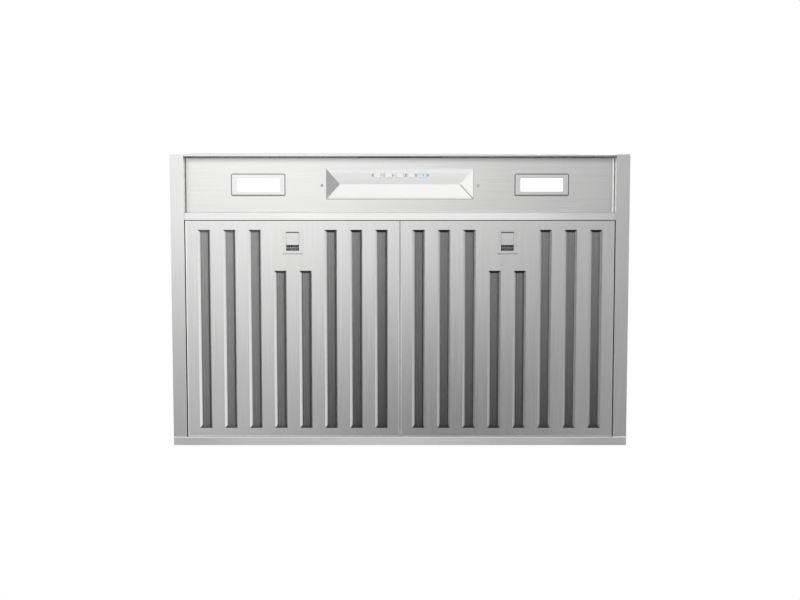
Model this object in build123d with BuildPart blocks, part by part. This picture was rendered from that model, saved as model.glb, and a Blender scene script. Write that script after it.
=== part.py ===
from build123d import *
import os
from math import asin, atan, atan2, cos, degrees, pi, sin, sqrt, tan

# Range hood insert, in millimetres. X runs to the right, Y to the back and Z up.
# The origin lies under the middle of the flange, in the plane of its underside.

os.makedirs("parts", exist_ok=True)

# ---------------------------------------------------------------- driving dimensions
hood_w = 721.0           # over the side rails
hood_d = 462.0           # front edge to the back of the rear rail
canopy_h = 110.0         # underside of the flange to the canopy's top
box_h = 190.0            # blower box
collar_h = 45.0          # duct collar
sheet = 1.0              # folded sheet of walls, webs and filter faces
flange_t = 1.2           # thicker sheet of the rails and the ledge
fit = 0.3                # room left between pieces that only meet

rail_w = 21.4            # side rail, outer edge to the inside of its web
rail_web_h = 22.0
return_h = 6.0           # turned-up outer edge of the rails
rear_rail_d = 13.5
rear_web_in = 5.5        # the rear web stands this far behind the rail's front edge
relief_w, relief_deep = 0.6, 0.4
relief_in = (3.2, 11.0)  # two pressed lines along the rear rail

hem_d, hem_h = 3.0, 10.0            # folded front edge of the canopy
strip_start, strip_end = 5.5, 91.6  # control strip, from the front edge
strip_z = 15.0                      # the strip lies this far above the rails
strip_side_gap = 1.0
strip_bend = 6.0                    # outer radius of the fold at its front and ends
strip_turn = 15.0                   # its turned-up edges
ledge_d = 11.0                      # front cross rail, behind the strip
ledge_web_h, ledge_back_h = 30.0, 14.0

light_x, light_in = 223.5, 48.2     # lamp centres, from the middle and from the front
bezel_size = (84.2, 33.8)
bezel_corner = 2.4
bezel_gap = 0.8
bezel_proud, bezel_top = 0.4, 1.0
bezel_lip = 6.0                     # part of the bezel that rests on the strip
window_size = (66.6, 20.5)
lens_recess = 0.4
lens_lip, lens_lip_t = 3.0, 1.0
led_skirt_h, led_plate_t, led_fin_h = 5.0, 3.0, 10.0
led_fins, led_emitters = 9, 3

pod_size = (232.9, 48.6)            # control pod, a hipped cover
pod_in = 46.8                       # its middle, from the front edge
pod_drop = 12.0
pod_hip = 22.45                     # length of each sloping end
pod_wall = 2.0
pod_rim = 3.5                       # the pod is this much wider than its neck, all round
pod_neck_h, pod_neck_wall = 7.0, 1.8
pod_screw_out, pod_screw_back = 6.55, 2.2   # screws beside the pod's ends, from its ends and its middle
clamp_over, clamp_screw_over = 4.0, 7.0     # the clamp reaches past the strip's opening and its screws
clamp_half, clamp_back = 10.0, 2.0          # half its depth, and how far it sits behind the pod's middle

module_size = (140.0, 56.0, 33.0)   # power module: width, depth and height
module_back = 4.0                   # from the canopy's front wall
module_ear = (12.0, 16.0, 3.0)      # each fixing ear
module_plug = (48.0, 8.0, 14.0)
plug_drop = 10.0
module_round = 3.0

key_count, key_pitch, key_before = 5, 18.0, 13.8   # keys, and their middle from the pod's
key_size = (11.0, 8.6)
key_proud, key_travel = 0.8, 0.8
key_lip, key_lip_t = 1.5, 1.0
switch_size, switch_h = 6.0, 3.0
board_size, board_t = (112.0, 18.0), 1.6
boss_r, boss_in, boss_apart = 2.0, 6.0, 6.0

filter_seam, filter_side_gap = 1.0, 1.3     # between the two filters, and beside the side webs
filter_front_gap, filter_rear_gap = 1.4, 0.1   # behind the ledge, and before the rear rail
filter_z, filter_h = 3.0, 13.5      # underside of the face above the rails, and height
slot_count, slot_w = 8, 19.85
slot_margin = 28.9                  # from a filter's side edge to the middle of its first slot
slot_start, slot_end, short_start = 14.3, 13.9, 79.0   # from the filter's front, rear and front edge
slot_rise, slot_lean = 3.5, 3.9     # height of the turned-in walls, and their lean
slot_wall = 1.3                     # their width, measured along the face
back_inset = 0.5                    # the back grille lies this far below the filter's rim
grille_cols, grille_rows, grille_bar = 6, 7, 9.0

pin_in, pin_z, pin_r = 5.5, 12.0, 2.5   # pins, from the rear rail's edge and above the rails
pin_room = 0.06                     # running room of the pins in their hooks
pin_reach, pin_head, pin_head_r = 13.0, 1.5, 3.7
hook_r, hook_t, hook_mid_t = 5.0, 4.0, 5.0
hook_gap = 2.6                      # between an outer hook and the side web
arm_z = (14.0, 20.0)
notch_x, notch_d = 6.5, 14.4        # open corner of the filter round each hook
mesh_corner, back_corner = 15.0, 9.8    # the same corner in the mesh and in the back grille

latch_plate = (32.0, 38.0)
latch_in = 33.95                    # middle of the latch plate, from the filter's front edge
latch_plate_t, latch_cup_h = 0.8, 11.5
latch_cup_in = 2.0                  # the cup is this much smaller than its plate, all round
slider_w, slider_start, slider_end = 19.6, 18.2, 43.0   # its ends, from the filter's front edge
slider_travel = 4.0
finger_start, lip_t = 38.0, 0.8
slider_low, slider_top, finger_top = 1.6, 9.0, 7.6
bolt_w, bolt_low = 14.0, 6.0
bolt_out = 0.5                      # the nose stands this far out of the filter
bolt_room = 0.4
wing_w, wing_t = 1.5, 3.0           # the slider's side wings, which run behind the latch plate
seat_in, seat_t, seat_half = 9.0, 5.0, 4.0  # upright that the spring pushes on
spring_z, coil_r, wire_r, coil_turns, wire_sides = 11.3, 1.7, 0.3, 7, 8
seat_above, spigot_l = 1.9, 7.0

box_w, box_y = 330.0, (-110.0, 150.0)
box_flange = 15.0
intake_in = (15.0, 10.0)            # the intake's edges, from the blower box's sides and ends
wheel_y, wheel_r, blade_in_r = -6.0, 62.0, 50.0
blade_count, blade_t, blade_sweep = 36, 0.9, 9.0
tongue_room, scroll_step, scroll_half = 14.0, 8.7, 65.0
scroll_clear = 5.95                 # below the scroll's inside, over the canopy's top
wheel_side_room = 10.0              # from the wheel's ring to the outside of each scroll side
bell_r, bell_round = 50.0, 6.0
scroll_tab = 10.0                   # turned-out edge that hangs each scroll side from the box
shaft_r, shaft_end, shaft_short = 4.0, 1.0, 8.0   # shaft past the hub, and short of the motor's end
hub_r, hub_half = 9.0, 14.0
shaft_room, wheel_ring_t = 0.06, 1.2
motor_r, motor_gap, motor_stand, motor_edge = 36.0, 2.0, 1.0, 5.0
bracket_t, bracket_arm, bracket_edge = 1.5, 14.0, 6.0
motor_bolt_at, motor_bolt_l = 70.0, 4.5
cap_r, cap_h, cap_up = 17.5, 60.0, 18.0
cap_in, cap_back = 45.0, 2.5        # from the blower box's side, and before its front wall
lug_apart, lug_t, lug_half, lug_h = 6.0, 0.8, 3.0, 8.0
cap_band_t, cap_band_up, cap_band_h, cap_band_half = 1.2, 22.0, 14.0, 14.0
cap_room = 0.05

collar_r, collar_bead = 88.4, 2.4   # a nominal 7 inch duct slides over it
collar_flange, collar_screw_out = 12.6, 7.6
bead_z, bead_t = 15.0, 1.5
flap_t = 0.8
damper_r, knuckle_r, damper_room = 1.5, 2.6, 0.06
knuckle_pitch, knuckle_half, knuckle_gap = 30.0, 9.0, 0.6

junction_size, junction_start = (60.0, 80.0, 45.0), 80.0   # wiring box, and the Y of its front
junction_wall = 1.2
knockout_r = 11.1                   # a 7/8 inch conduit hole
cover_screw_in = 7.0
ear_half = (6.0, 7.0)
ear_h = 10.0
block_in, block_d, block_h, block_ways = (10.0, 8.0), 22.0, 16.0, 4
way_edge, way_floor = 7.0, 6.0
hang_in, hang_y, hang_r, hang_h = 19.1, 120.0, 4.5, 40.0   # holes, from the canopy's side wall
hang_lip, hang_web_in, hang_foot, hang_t, hang_half_y = 14.0, 12.0, 25.0, 2.0, 140.0
hang_screw_in, hang_screw_y = 11.0, 110.0
box_screw_in, box_screw_x, box_screw_y = 7.5, 90.0, 15.0

screw_head_r, screw_head_h, screw_r, screw_l = 3.6, 2.2, 1.9, 8.0
screw_room = 0.3
small_head_r, small_head_h, small_r, small_l = 2.35, 1.0, 1.5, 7.0

# ---------------------------------------------------------------- worked out from them
front, rear = -hood_d / 2, hood_d / 2
side = hood_w / 2
web_x = side - rail_w                     # inside of the side webs
wall_x = web_x + sheet                    # inside of the canopy's side walls
rear_edge = rear - rear_rail_d
rear_web = rear_edge + rear_web_in
canopy_back = rear_web + 2 * sheet
canopy_top = canopy_h
box_top = canopy_h + box_h
hood_h = box_top + collar_h
light_y, pod_y = front + light_in, front + pod_in
pod_slope = atan(pod_drop / (pod_size[1] / 2))
pod_neck = (pod_size[0] - 2 * pod_rim, pod_size[1] - 2 * pod_rim)   # passes up through the strip
strip_back, ledge_back = front + strip_end, front + strip_end + ledge_d
filter_w = web_x - filter_side_gap - filter_seam / 2
filter_x = filter_seam / 2 + filter_w / 2
filter_y = (ledge_back + filter_front_gap, rear_edge - filter_rear_gap)
filter_top = filter_z + filter_h
slot_pitch = (filter_w - 2 * slot_margin) / (slot_count - 1)
pin_y = rear_edge - pin_in
latch_y = filter_y[0] + latch_in
cup_half = (latch_plate[0] / 2 - latch_cup_in, latch_plate[1] / 2 - latch_cup_in)
cup_top = filter_z + latch_cup_h
box_x = (-box_w / 2, box_w / 2)
scroll_r = wheel_r + tongue_room
wheel_z = canopy_top + scroll_clear + scroll_r + 1.5 * scroll_step
outlet_y = (wheel_y - scroll_step / 2, wheel_y + scroll_step / 2 + scroll_r + 2 * scroll_step)
wrap_half, wheel_half = scroll_half - sheet, scroll_half - wheel_side_room
collar_y = sum(outlet_y) / 2
flap_z = box_top + bead_z + bead_t + fit


def slab(x, y, z, mode=Mode.ADD):
    """A box between two X, two Y and two Z values."""
    with Locations(((x[0] + x[1]) / 2, (y[0] + y[1]) / 2, (z[0] + z[1]) / 2)):
        Box(abs(x[1] - x[0]), abs(y[1] - y[0]), abs(z[1] - z[0]), mode=mode)


def rod(axis, at, ends, r, mode=Mode.ADD):
    """A round bar along X, Y or Z, through the point at, between two values on that axis."""
    middle, length = (ends[0] + ends[1]) / 2, abs(ends[1] - ends[0])
    places = {"X": (middle, *at), "Y": (at[0], middle, at[1]), "Z": (*at, middle)}
    turns = {"X": (0, 90, 0), "Y": (90, 0, 0), "Z": (0, 0, 0)}
    with Locations(Location(places[axis], turns[axis])):
        Cylinder(r, length, mode=mode)


def out_x(sign, near, far):
    """Two X values on one side of the middle, low one first."""
    return tuple(sorted((sign * near, sign * far)))


def polar(r, angle):
    """The two coordinates of a point this far from the centre, at an angle in degrees."""
    return r * cos(angle * pi / 180), r * sin(angle * pi / 180)


# ---------------------------------------------------------------- canopy and flange
blower_flange_x = box_w / 2 + box_flange
box_flange_y = (box_y[0] - box_flange, box_y[1] + box_flange)
screw_ys = (box_y[0] + box_screw_y, box_y[1] - box_screw_y)
box_screws = [(s * (blower_flange_x - box_screw_in), y) for s in (-1, 1) for y in screw_ys]
screw_ys = (box_flange_y[0] + box_screw_in, box_flange_y[1] - box_screw_in)
box_screws += [(s * box_screw_x, y) for s in (-1, 1) for y in screw_ys]
hang_x = wall_x + sheet - hang_in
hang_leg = (hang_x - hang_web_in - hang_foot, hang_x + hang_lip)
hang_screws = [(s * (hang_leg[0] + hang_screw_in), s2 * hang_screw_y) for s in (-1, 1) for s2 in (-1, 1)]
canopy_holes = box_screws + hang_screws
intake_x = box_w / 2 - intake_in[0]
intake_y = (box_y[0] + intake_in[1], box_y[1] - intake_in[1])

with BuildPart() as canopy_shell:
    slab((-wall_x - sheet, wall_x + sheet), (front, canopy_back), (flange_t, canopy_top))
    inner_z = (flange_t, canopy_top - sheet)
    slab((-wall_x, wall_x), (front + sheet, canopy_back - sheet), inner_z, Mode.SUBTRACT)
    slab((-intake_x, intake_x), intake_y, (inner_z[1], canopy_top), Mode.SUBTRACT)
    hem_x = (-web_x + fit, web_x - fit)
    slab(hem_x, (front, front + sheet), (0, 2 * flange_t))
    slab(hem_x, (front, front + hem_d), (0, sheet))
    slab(hem_x, (front + hem_d - sheet, front + hem_d), (0, hem_h))
    for x, y in canopy_holes:
        rod("Z", (x, y), (inner_z[1], canopy_top), screw_r + screw_room, Mode.SUBTRACT)
canopy_shell.part.label = "canopy_shell"
export_step(canopy_shell.part, "parts/canopy_shell.step")

for name, sign in (("left", -1), ("right", 1)):
    with BuildPart() as rail:
        rail_y = (front, rear_edge - fit)
        slab(out_x(sign, web_x, side), rail_y, (0, flange_t))
        slab(out_x(sign, web_x, wall_x), (front + sheet, rail_y[1]), (0, rail_web_h))
        slab(out_x(sign, side - flange_t, side), rail_y, (0, return_h))
    rail.part.label = f"rail_{name}"
    export_step(rail.part, f"parts/rail_{name}.step")

with BuildPart() as rail_rear:
    slab((-side, side), (rear_edge, rear), (0, flange_t))
    slab((-wall_x, wall_x), (rear_web, rear_web + sheet), (0, rail_web_h))
    slab((-side, side), (rear - flange_t, rear), (0, return_h))
    for inset in relief_in:
        line_y = rear_edge + inset
        slab((-side, side), (line_y, line_y + relief_w), (0, relief_deep), Mode.SUBTRACT)
rail_rear.part.label = "rail_rear"
export_step(rail_rear.part, "parts/rail_rear.step")

cross_x = (-web_x + fit, web_x - fit)
with BuildPart() as front_ledge:
    slab(cross_x, (strip_back, ledge_back), (0, flange_t))
    slab(cross_x, (strip_back, strip_back + sheet), (0, ledge_web_h))
    slab(cross_x, (ledge_back - sheet, ledge_back), (0, ledge_back_h))
front_ledge.part.label = "front_ledge"
export_step(front_ledge.part, "parts/front_ledge.step")

# ---------------------------------------------------------------- control strip and its lamps
strip_front = front + strip_start
strip_x = web_x - strip_side_gap
strip_top = strip_z + sheet
pod_opening = (pod_neck[0] / 2 + fit, pod_neck[1] / 2 + fit)
pod_screw_x = pod_size[0] / 2 + pod_screw_out
pod_screw_spots = [(s * pod_screw_x, pod_y + pod_screw_back) for s in (-1, 1)]

with BuildPart() as control_strip:
    slab((-strip_x, strip_x), (strip_front, strip_back), (strip_z, strip_z + strip_turn))
    low_edges = control_strip.faces().sort_by(Axis.Z)[0].edges()
    fillet([edge for edge in low_edges if edge.center().Y < strip_back - sheet], radius=strip_bend)
    offset(amount=-sheet, openings=control_strip.faces().sort_by(Axis.Z)[-1])
    with BuildSketch(Plane.XY.offset(strip_z)):
        with Locations((-light_x, light_y), (light_x, light_y)):
            opening = [length + 2 * bezel_gap for length in bezel_size]
            RectangleRounded(*opening, bezel_corner + bezel_gap)
        with Locations((0, pod_y)):
            Rectangle(2 * pod_opening[0], 2 * pod_opening[1])
        with Locations(*pod_screw_spots):
            Circle(small_r + screw_room)
    extrude(amount=sheet, mode=Mode.SUBTRACT)
control_strip.part.label = "control_strip"
export_step(control_strip.part, "parts/control_strip.step")

lip_size = [length + 2 * bezel_lip for length in bezel_size]
bezel_back = strip_top + bezel_top
for name, sign in (("left", -1), ("right", 1)):
    lamp = (sign * light_x, light_y)
    with BuildPart() as bezel:
        with BuildSketch(Plane.XY.offset(strip_z - bezel_proud)):
            with Locations(lamp):
                RectangleRounded(*bezel_size, bezel_corner)
        extrude(amount=bezel_back - strip_z + bezel_proud)
        with BuildSketch(Plane.XY.offset(strip_top)):
            with Locations(lamp):
                Rectangle(*lip_size)
        extrude(amount=bezel_top)
        with BuildSketch(Plane.XY.offset(strip_z - bezel_proud)):
            with Locations(lamp):
                Rectangle(*window_size)
        extrude(amount=bezel_back - strip_z + bezel_proud, mode=Mode.SUBTRACT)
    bezel.part.label = f"light_bezel_{name}"
    export_step(bezel.part, f"parts/light_bezel_{name}.step")

    with BuildPart() as lens:
        with BuildSketch(Plane.XY.offset(strip_z - bezel_proud + lens_recess)):
            with Locations(lamp):
                Rectangle(window_size[0] - 2 * fit, window_size[1] - 2 * fit)
        extrude(amount=bezel_back - strip_z + bezel_proud - lens_recess)
        with BuildSketch(Plane.XY.offset(bezel_back)):
            with Locations(lamp):
                Rectangle(window_size[0] + 2 * lens_lip, window_size[1] + 2 * lens_lip)
        extrude(amount=lens_lip_t)
    lens.part.label = f"light_lens_{name}"
    export_step(lens.part, f"parts/light_lens_{name}.step")

    with BuildPart() as led_module:
        skirt = (bezel_back, bezel_back + led_skirt_h)
        plate = (skirt[1], skirt[1] + led_plate_t)
        half = (lip_size[0] / 2, lip_size[1] / 2)
        over_x = (lamp[0] - half[0], lamp[0] + half[0])
        over_y = (lamp[1] - half[1], lamp[1] + half[1])
        slab(over_x, over_y, (skirt[0], plate[1]))
        under_x, under_y = [(a[0] + 2, a[1] - 2) for a in (over_x, over_y)]
        slab(under_x, under_y, skirt, Mode.SUBTRACT)
        for i in range(led_fins):
            x = over_x[0] + (over_x[1] - over_x[0] - sheet) * i / (led_fins - 1)
            slab((x, x + sheet), over_y, (plate[1], plate[1] + led_fin_h))
        for i in range(led_emitters):
            x = lamp[0] + window_size[0] * ((i + 0.5) / led_emitters - 0.5)
            slab((x - 2.5, x + 2.5), (lamp[1] - 2.5, lamp[1] + 2.5), (skirt[1] - 1.2, skirt[1]))
    led_module.part.label = f"led_module_{name}"
    export_step(led_module.part, f"parts/led_module_{name}.step")

# ---------------------------------------------------------------- control pod and its keys
pod_half = (pod_size[0] / 2, pod_size[1] / 2)
pod_ridge = strip_z - pod_drop
key_y = pod_y - key_before
key_z = strip_z - (key_y - pod_y + pod_half[1]) * tan(pod_slope)
key_out = (0, -sin(pod_slope), -cos(pod_slope))
key_xs = [(i - (key_count - 1) / 2) * key_pitch for i in range(key_count)]


def key_plane(x=0.0, deep=0.0, along=0.0):
    """Parallel to the pod's front face, deep inside it, and along it towards the ridge."""
    y = key_y - deep * key_out[1] + along * cos(pod_slope)
    z = key_z - deep * key_out[2] - along * sin(pod_slope)
    return Plane(origin=(x, y, z), x_dir=(1, 0, 0), z_dir=key_out)


def hipped(half_y, low, base, half_x, hip):
    """The solid under a hipped roof that hangs from the plane at height base."""
    with BuildSketch(Plane.YZ) as gable:
        with BuildLine():
            Polyline((pod_y - half_y, base), (pod_y, low), (pod_y + half_y, base), close=True)
        make_face()
    extrude(gable.sketch, amount=half_x, both=True)
    rise = base - low
    for s in (-1, 1):
        end = Plane(origin=(s * half_x, pod_y, base), z_dir=(s * rise, 0, -hip))
        split(bisect_by=end, keep=Keep.BOTTOM)


wall_y, wall_z = pod_wall / sin(pod_slope), pod_wall / cos(pod_slope)
hip_slope = atan(pod_drop / pod_hip)
with BuildPart() as pod_hollow:
    inner_low = pod_ridge + wall_z
    inner_hip = (strip_z - inner_low) / tan(hip_slope)
    inner_half_x = pod_half[0] - pod_wall / sin(hip_slope)
    hipped(pod_half[1] - wall_y, inner_low, strip_z, inner_half_x, inner_hip)

switch_deep = pod_wall + fit + key_lip_t + key_travel + fit
board_deep = switch_deep + switch_h
with BuildPart() as control_pod:
    hipped(pod_half[1], pod_ridge, strip_z, pod_half[0], pod_hip)
    with BuildSketch(Plane.XY.offset(strip_z - 1)):
        with Locations((0, pod_y)):
            Rectangle(*pod_neck)
            Rectangle(*[length - 2 * pod_neck_wall for length in pod_neck], mode=Mode.SUBTRACT)
    extrude(amount=pod_neck_h + 1)
    add(pod_hollow.part, mode=Mode.SUBTRACT)
    for x in key_xs:
        with BuildSketch(key_plane(x, -1)):
            Rectangle(key_size[0] + 2 * fit, key_size[1] + 2 * fit)
        extrude(amount=-pod_wall - 2, mode=Mode.SUBTRACT)
    for x in (-board_size[0] / 2 + boss_in, board_size[0] / 2 - boss_in):
        for along in (-boss_apart, boss_apart):
            with BuildSketch(key_plane(x, pod_wall / 2, along)):
                Circle(boss_r)
            extrude(amount=pod_wall / 2 - board_deep)
control_pod.part.label = "control_pod"
export_step(control_pod.part, "parts/control_pod.step")

for number, x in enumerate(key_xs, 1):
    with BuildPart() as key:
        with BuildSketch(key_plane(x, -key_proud)):
            Rectangle(*key_size)
        extrude(amount=-key_proud - pod_wall - fit - key_lip_t)
        fillet(key.faces().sort_by(Axis.Z)[0].edges(), 0.4)
        with BuildSketch(key_plane(x, pod_wall + fit)):
            Rectangle(key_size[0] + 2 * key_lip, key_size[1] + 2 * key_lip)
        extrude(amount=-key_lip_t)
    key.part.label = f"key_{number}"
    export_step(key.part, f"parts/key_{number}.step")

with BuildPart() as control_board:
    with BuildSketch(key_plane(0, board_deep)):
        Rectangle(*board_size)
    extrude(amount=-board_t)
    for x in key_xs:
        with BuildSketch(key_plane(x, board_deep)):
            Rectangle(switch_size, switch_size)
        extrude(amount=switch_h)
control_board.part.label = "control_board"
export_step(control_board.part, "parts/control_board.step")

neck_top = strip_z + pod_neck_h
clamp_x = pod_opening[0] + clamp_over
clamp_y = (pod_y + clamp_back - clamp_half, pod_y + clamp_back + clamp_half)
foot_x = (clamp_x - flange_t, pod_screw_x + clamp_screw_over)
with BuildPart() as control_clamp:
    slab((-clamp_x, clamp_x), clamp_y, (neck_top, neck_top + flange_t))
    for s in (-1, 1):
        slab(out_x(s, clamp_x - flange_t, clamp_x), clamp_y, (strip_top, neck_top + flange_t))
        slab(out_x(s, *foot_x), clamp_y, (strip_top, strip_top + flange_t))
    for at in pod_screw_spots:
        rod("Z", at, (strip_top, strip_top + flange_t), small_r + screw_room, Mode.SUBTRACT)
control_clamp.part.label = "control_clamp"
export_step(control_clamp.part, "parts/control_clamp.step")

with BuildPart() as pod_screws:
    for at in pod_screw_spots:
        rod("Z", at, (strip_z - small_head_h, strip_z), small_head_r)
        rod("Z", at, (strip_z, strip_z + small_l), small_r)
pod_screws.part.label = "pod_screws"
export_step(pod_screws.part, "parts/pod_screws.step")

with BuildPart() as power_module:
    case_x, ceiling = module_size[0] / 2, canopy_top - sheet
    case_y = (front + sheet + module_back, front + sheet + module_back + module_size[1])
    slab((-case_x, case_x), case_y, (ceiling - module_size[2], ceiling))
    fillet(power_module.edges().filter_by(Axis.Z), module_round)
    ear_y = (sum(case_y) / 2 - module_ear[1] / 2, sum(case_y) / 2 + module_ear[1] / 2)
    for s in (-1, 1):
        slab(out_x(s, case_x - 1, case_x + module_ear[0]), ear_y, (ceiling - module_ear[2], ceiling))
    plug_z = (ceiling - plug_drop - module_plug[2], ceiling - plug_drop)
    plug_x = module_plug[0] / 2
    slab((-plug_x, plug_x), (case_y[1] - 1, case_y[1] + module_plug[1] - 1), plug_z)
power_module.part.label = "power_module"
export_step(power_module.part, "parts/power_module.step")

# ---------------------------------------------------------------- filters
hook_x = web_x - hook_gap - hook_t
hook_places = ((-hook_x - hook_t, hook_t), (-hook_mid_t / 2, hook_mid_t), (hook_x, hook_t))
with BuildPart() as filter_hooks:
    for x, thick in hook_places:
        with BuildSketch(Plane.YZ.offset(x)):
            with Locations((pin_y, pin_z)):
                Circle(hook_r)
            with BuildLine():
                low, high = arm_z
                Polyline((pin_y, low), (rear_web, low), (rear_web, high), (pin_y, high), close=True)
            make_face()
            with Locations((pin_y, pin_z)):
                Circle(pin_r + pin_room, mode=Mode.SUBTRACT)
            with Locations((pin_y - hook_r / 2, pin_z)):
                Rectangle(hook_r, 2 * (pin_r + pin_room), mode=Mode.SUBTRACT)
        extrude(amount=thick)
filter_hooks.part.label = "filter_hooks"
export_step(filter_hooks.part, "parts/filter_hooks.step")

slider_y = (filter_y[0] + slider_start, filter_y[0] + slider_end)
seat_y = (slider_y[0] + seat_in, slider_y[0] + seat_in + seat_t)
coil_y = (seat_y[1] + fit + wire_r, latch_y + cup_half[1] - sheet - fit - wire_r)
coil_step = (coil_y[1] - coil_y[0]) / coil_turns
coil_gap = coil_step * cos(atan2(coil_step, 2 * pi * coil_r)) - 2 * wire_r
print("latch spring: least gap between turns", round(coil_gap, 2), "mm")


def on_coil(t):
    """Point and direction of the latch spring's wire after t turns, about X = 0."""
    a = 2 * pi * t
    point = Vector(coil_r * cos(a), coil_y[0] + coil_step * t, spring_z + coil_r * sin(a))
    return point, Vector(-2 * pi * coil_r * sin(a), coil_step, 2 * pi * coil_r * cos(a)).normalized()


with BuildPart() as coil:
    with BuildLine() as wire:
        for quarter in range(4 * coil_turns):
            start, leave = on_coil(quarter / 4)
            end, arrive = on_coil(quarter / 4 + 0.25)
            chord, both = end - start, leave + arrive
            square = 2 * (1 - leave.dot(arrive))
            reach = (sqrt(chord.dot(both) ** 2 + square * chord.dot(chord)) - chord.dot(both)) / square
            join = (start + leave * reach + end - arrive * reach) * 0.5
            TangentArc(start, join, tangent=leave)
            TangentArc(join, end, tangent=(end - arrive * reach) - (start + leave * reach))
    with BuildSketch(Plane(origin=on_coil(0)[0], z_dir=on_coil(0)[1])):
        RegularPolygon(wire_r, wire_sides)
    sweep(path=wire.line)


def slot_side(place, way):
    """The leaning, mitred wall along one long edge of a slot, from its opening's centre and size."""
    x, y, w, length = place
    sections = []
    for z, lean in ((filter_z, 0), (filter_z + slot_rise, slot_lean)):
        with BuildSketch(Plane.XY.offset(z)) as section:
            with Locations((x + way * (w / 2 + slot_wall / 2 - lean), y)):
                Rectangle(slot_wall, length - 2 * lean)
        sections.append(section.sketch.face())
    loft(sections)


def slots_of(middle):
    """Centre and size of each slot of the filter about this X."""
    for i in range(slot_count):
        offset_x = (i - (slot_count - 1) / 2) * slot_pitch
        start = filter_y[0] + (short_start if abs(offset_x) < slot_pitch else slot_start)
        end = filter_y[1] - slot_end
        yield middle + offset_x, (start + end) / 2, slot_w, end - start


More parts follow.
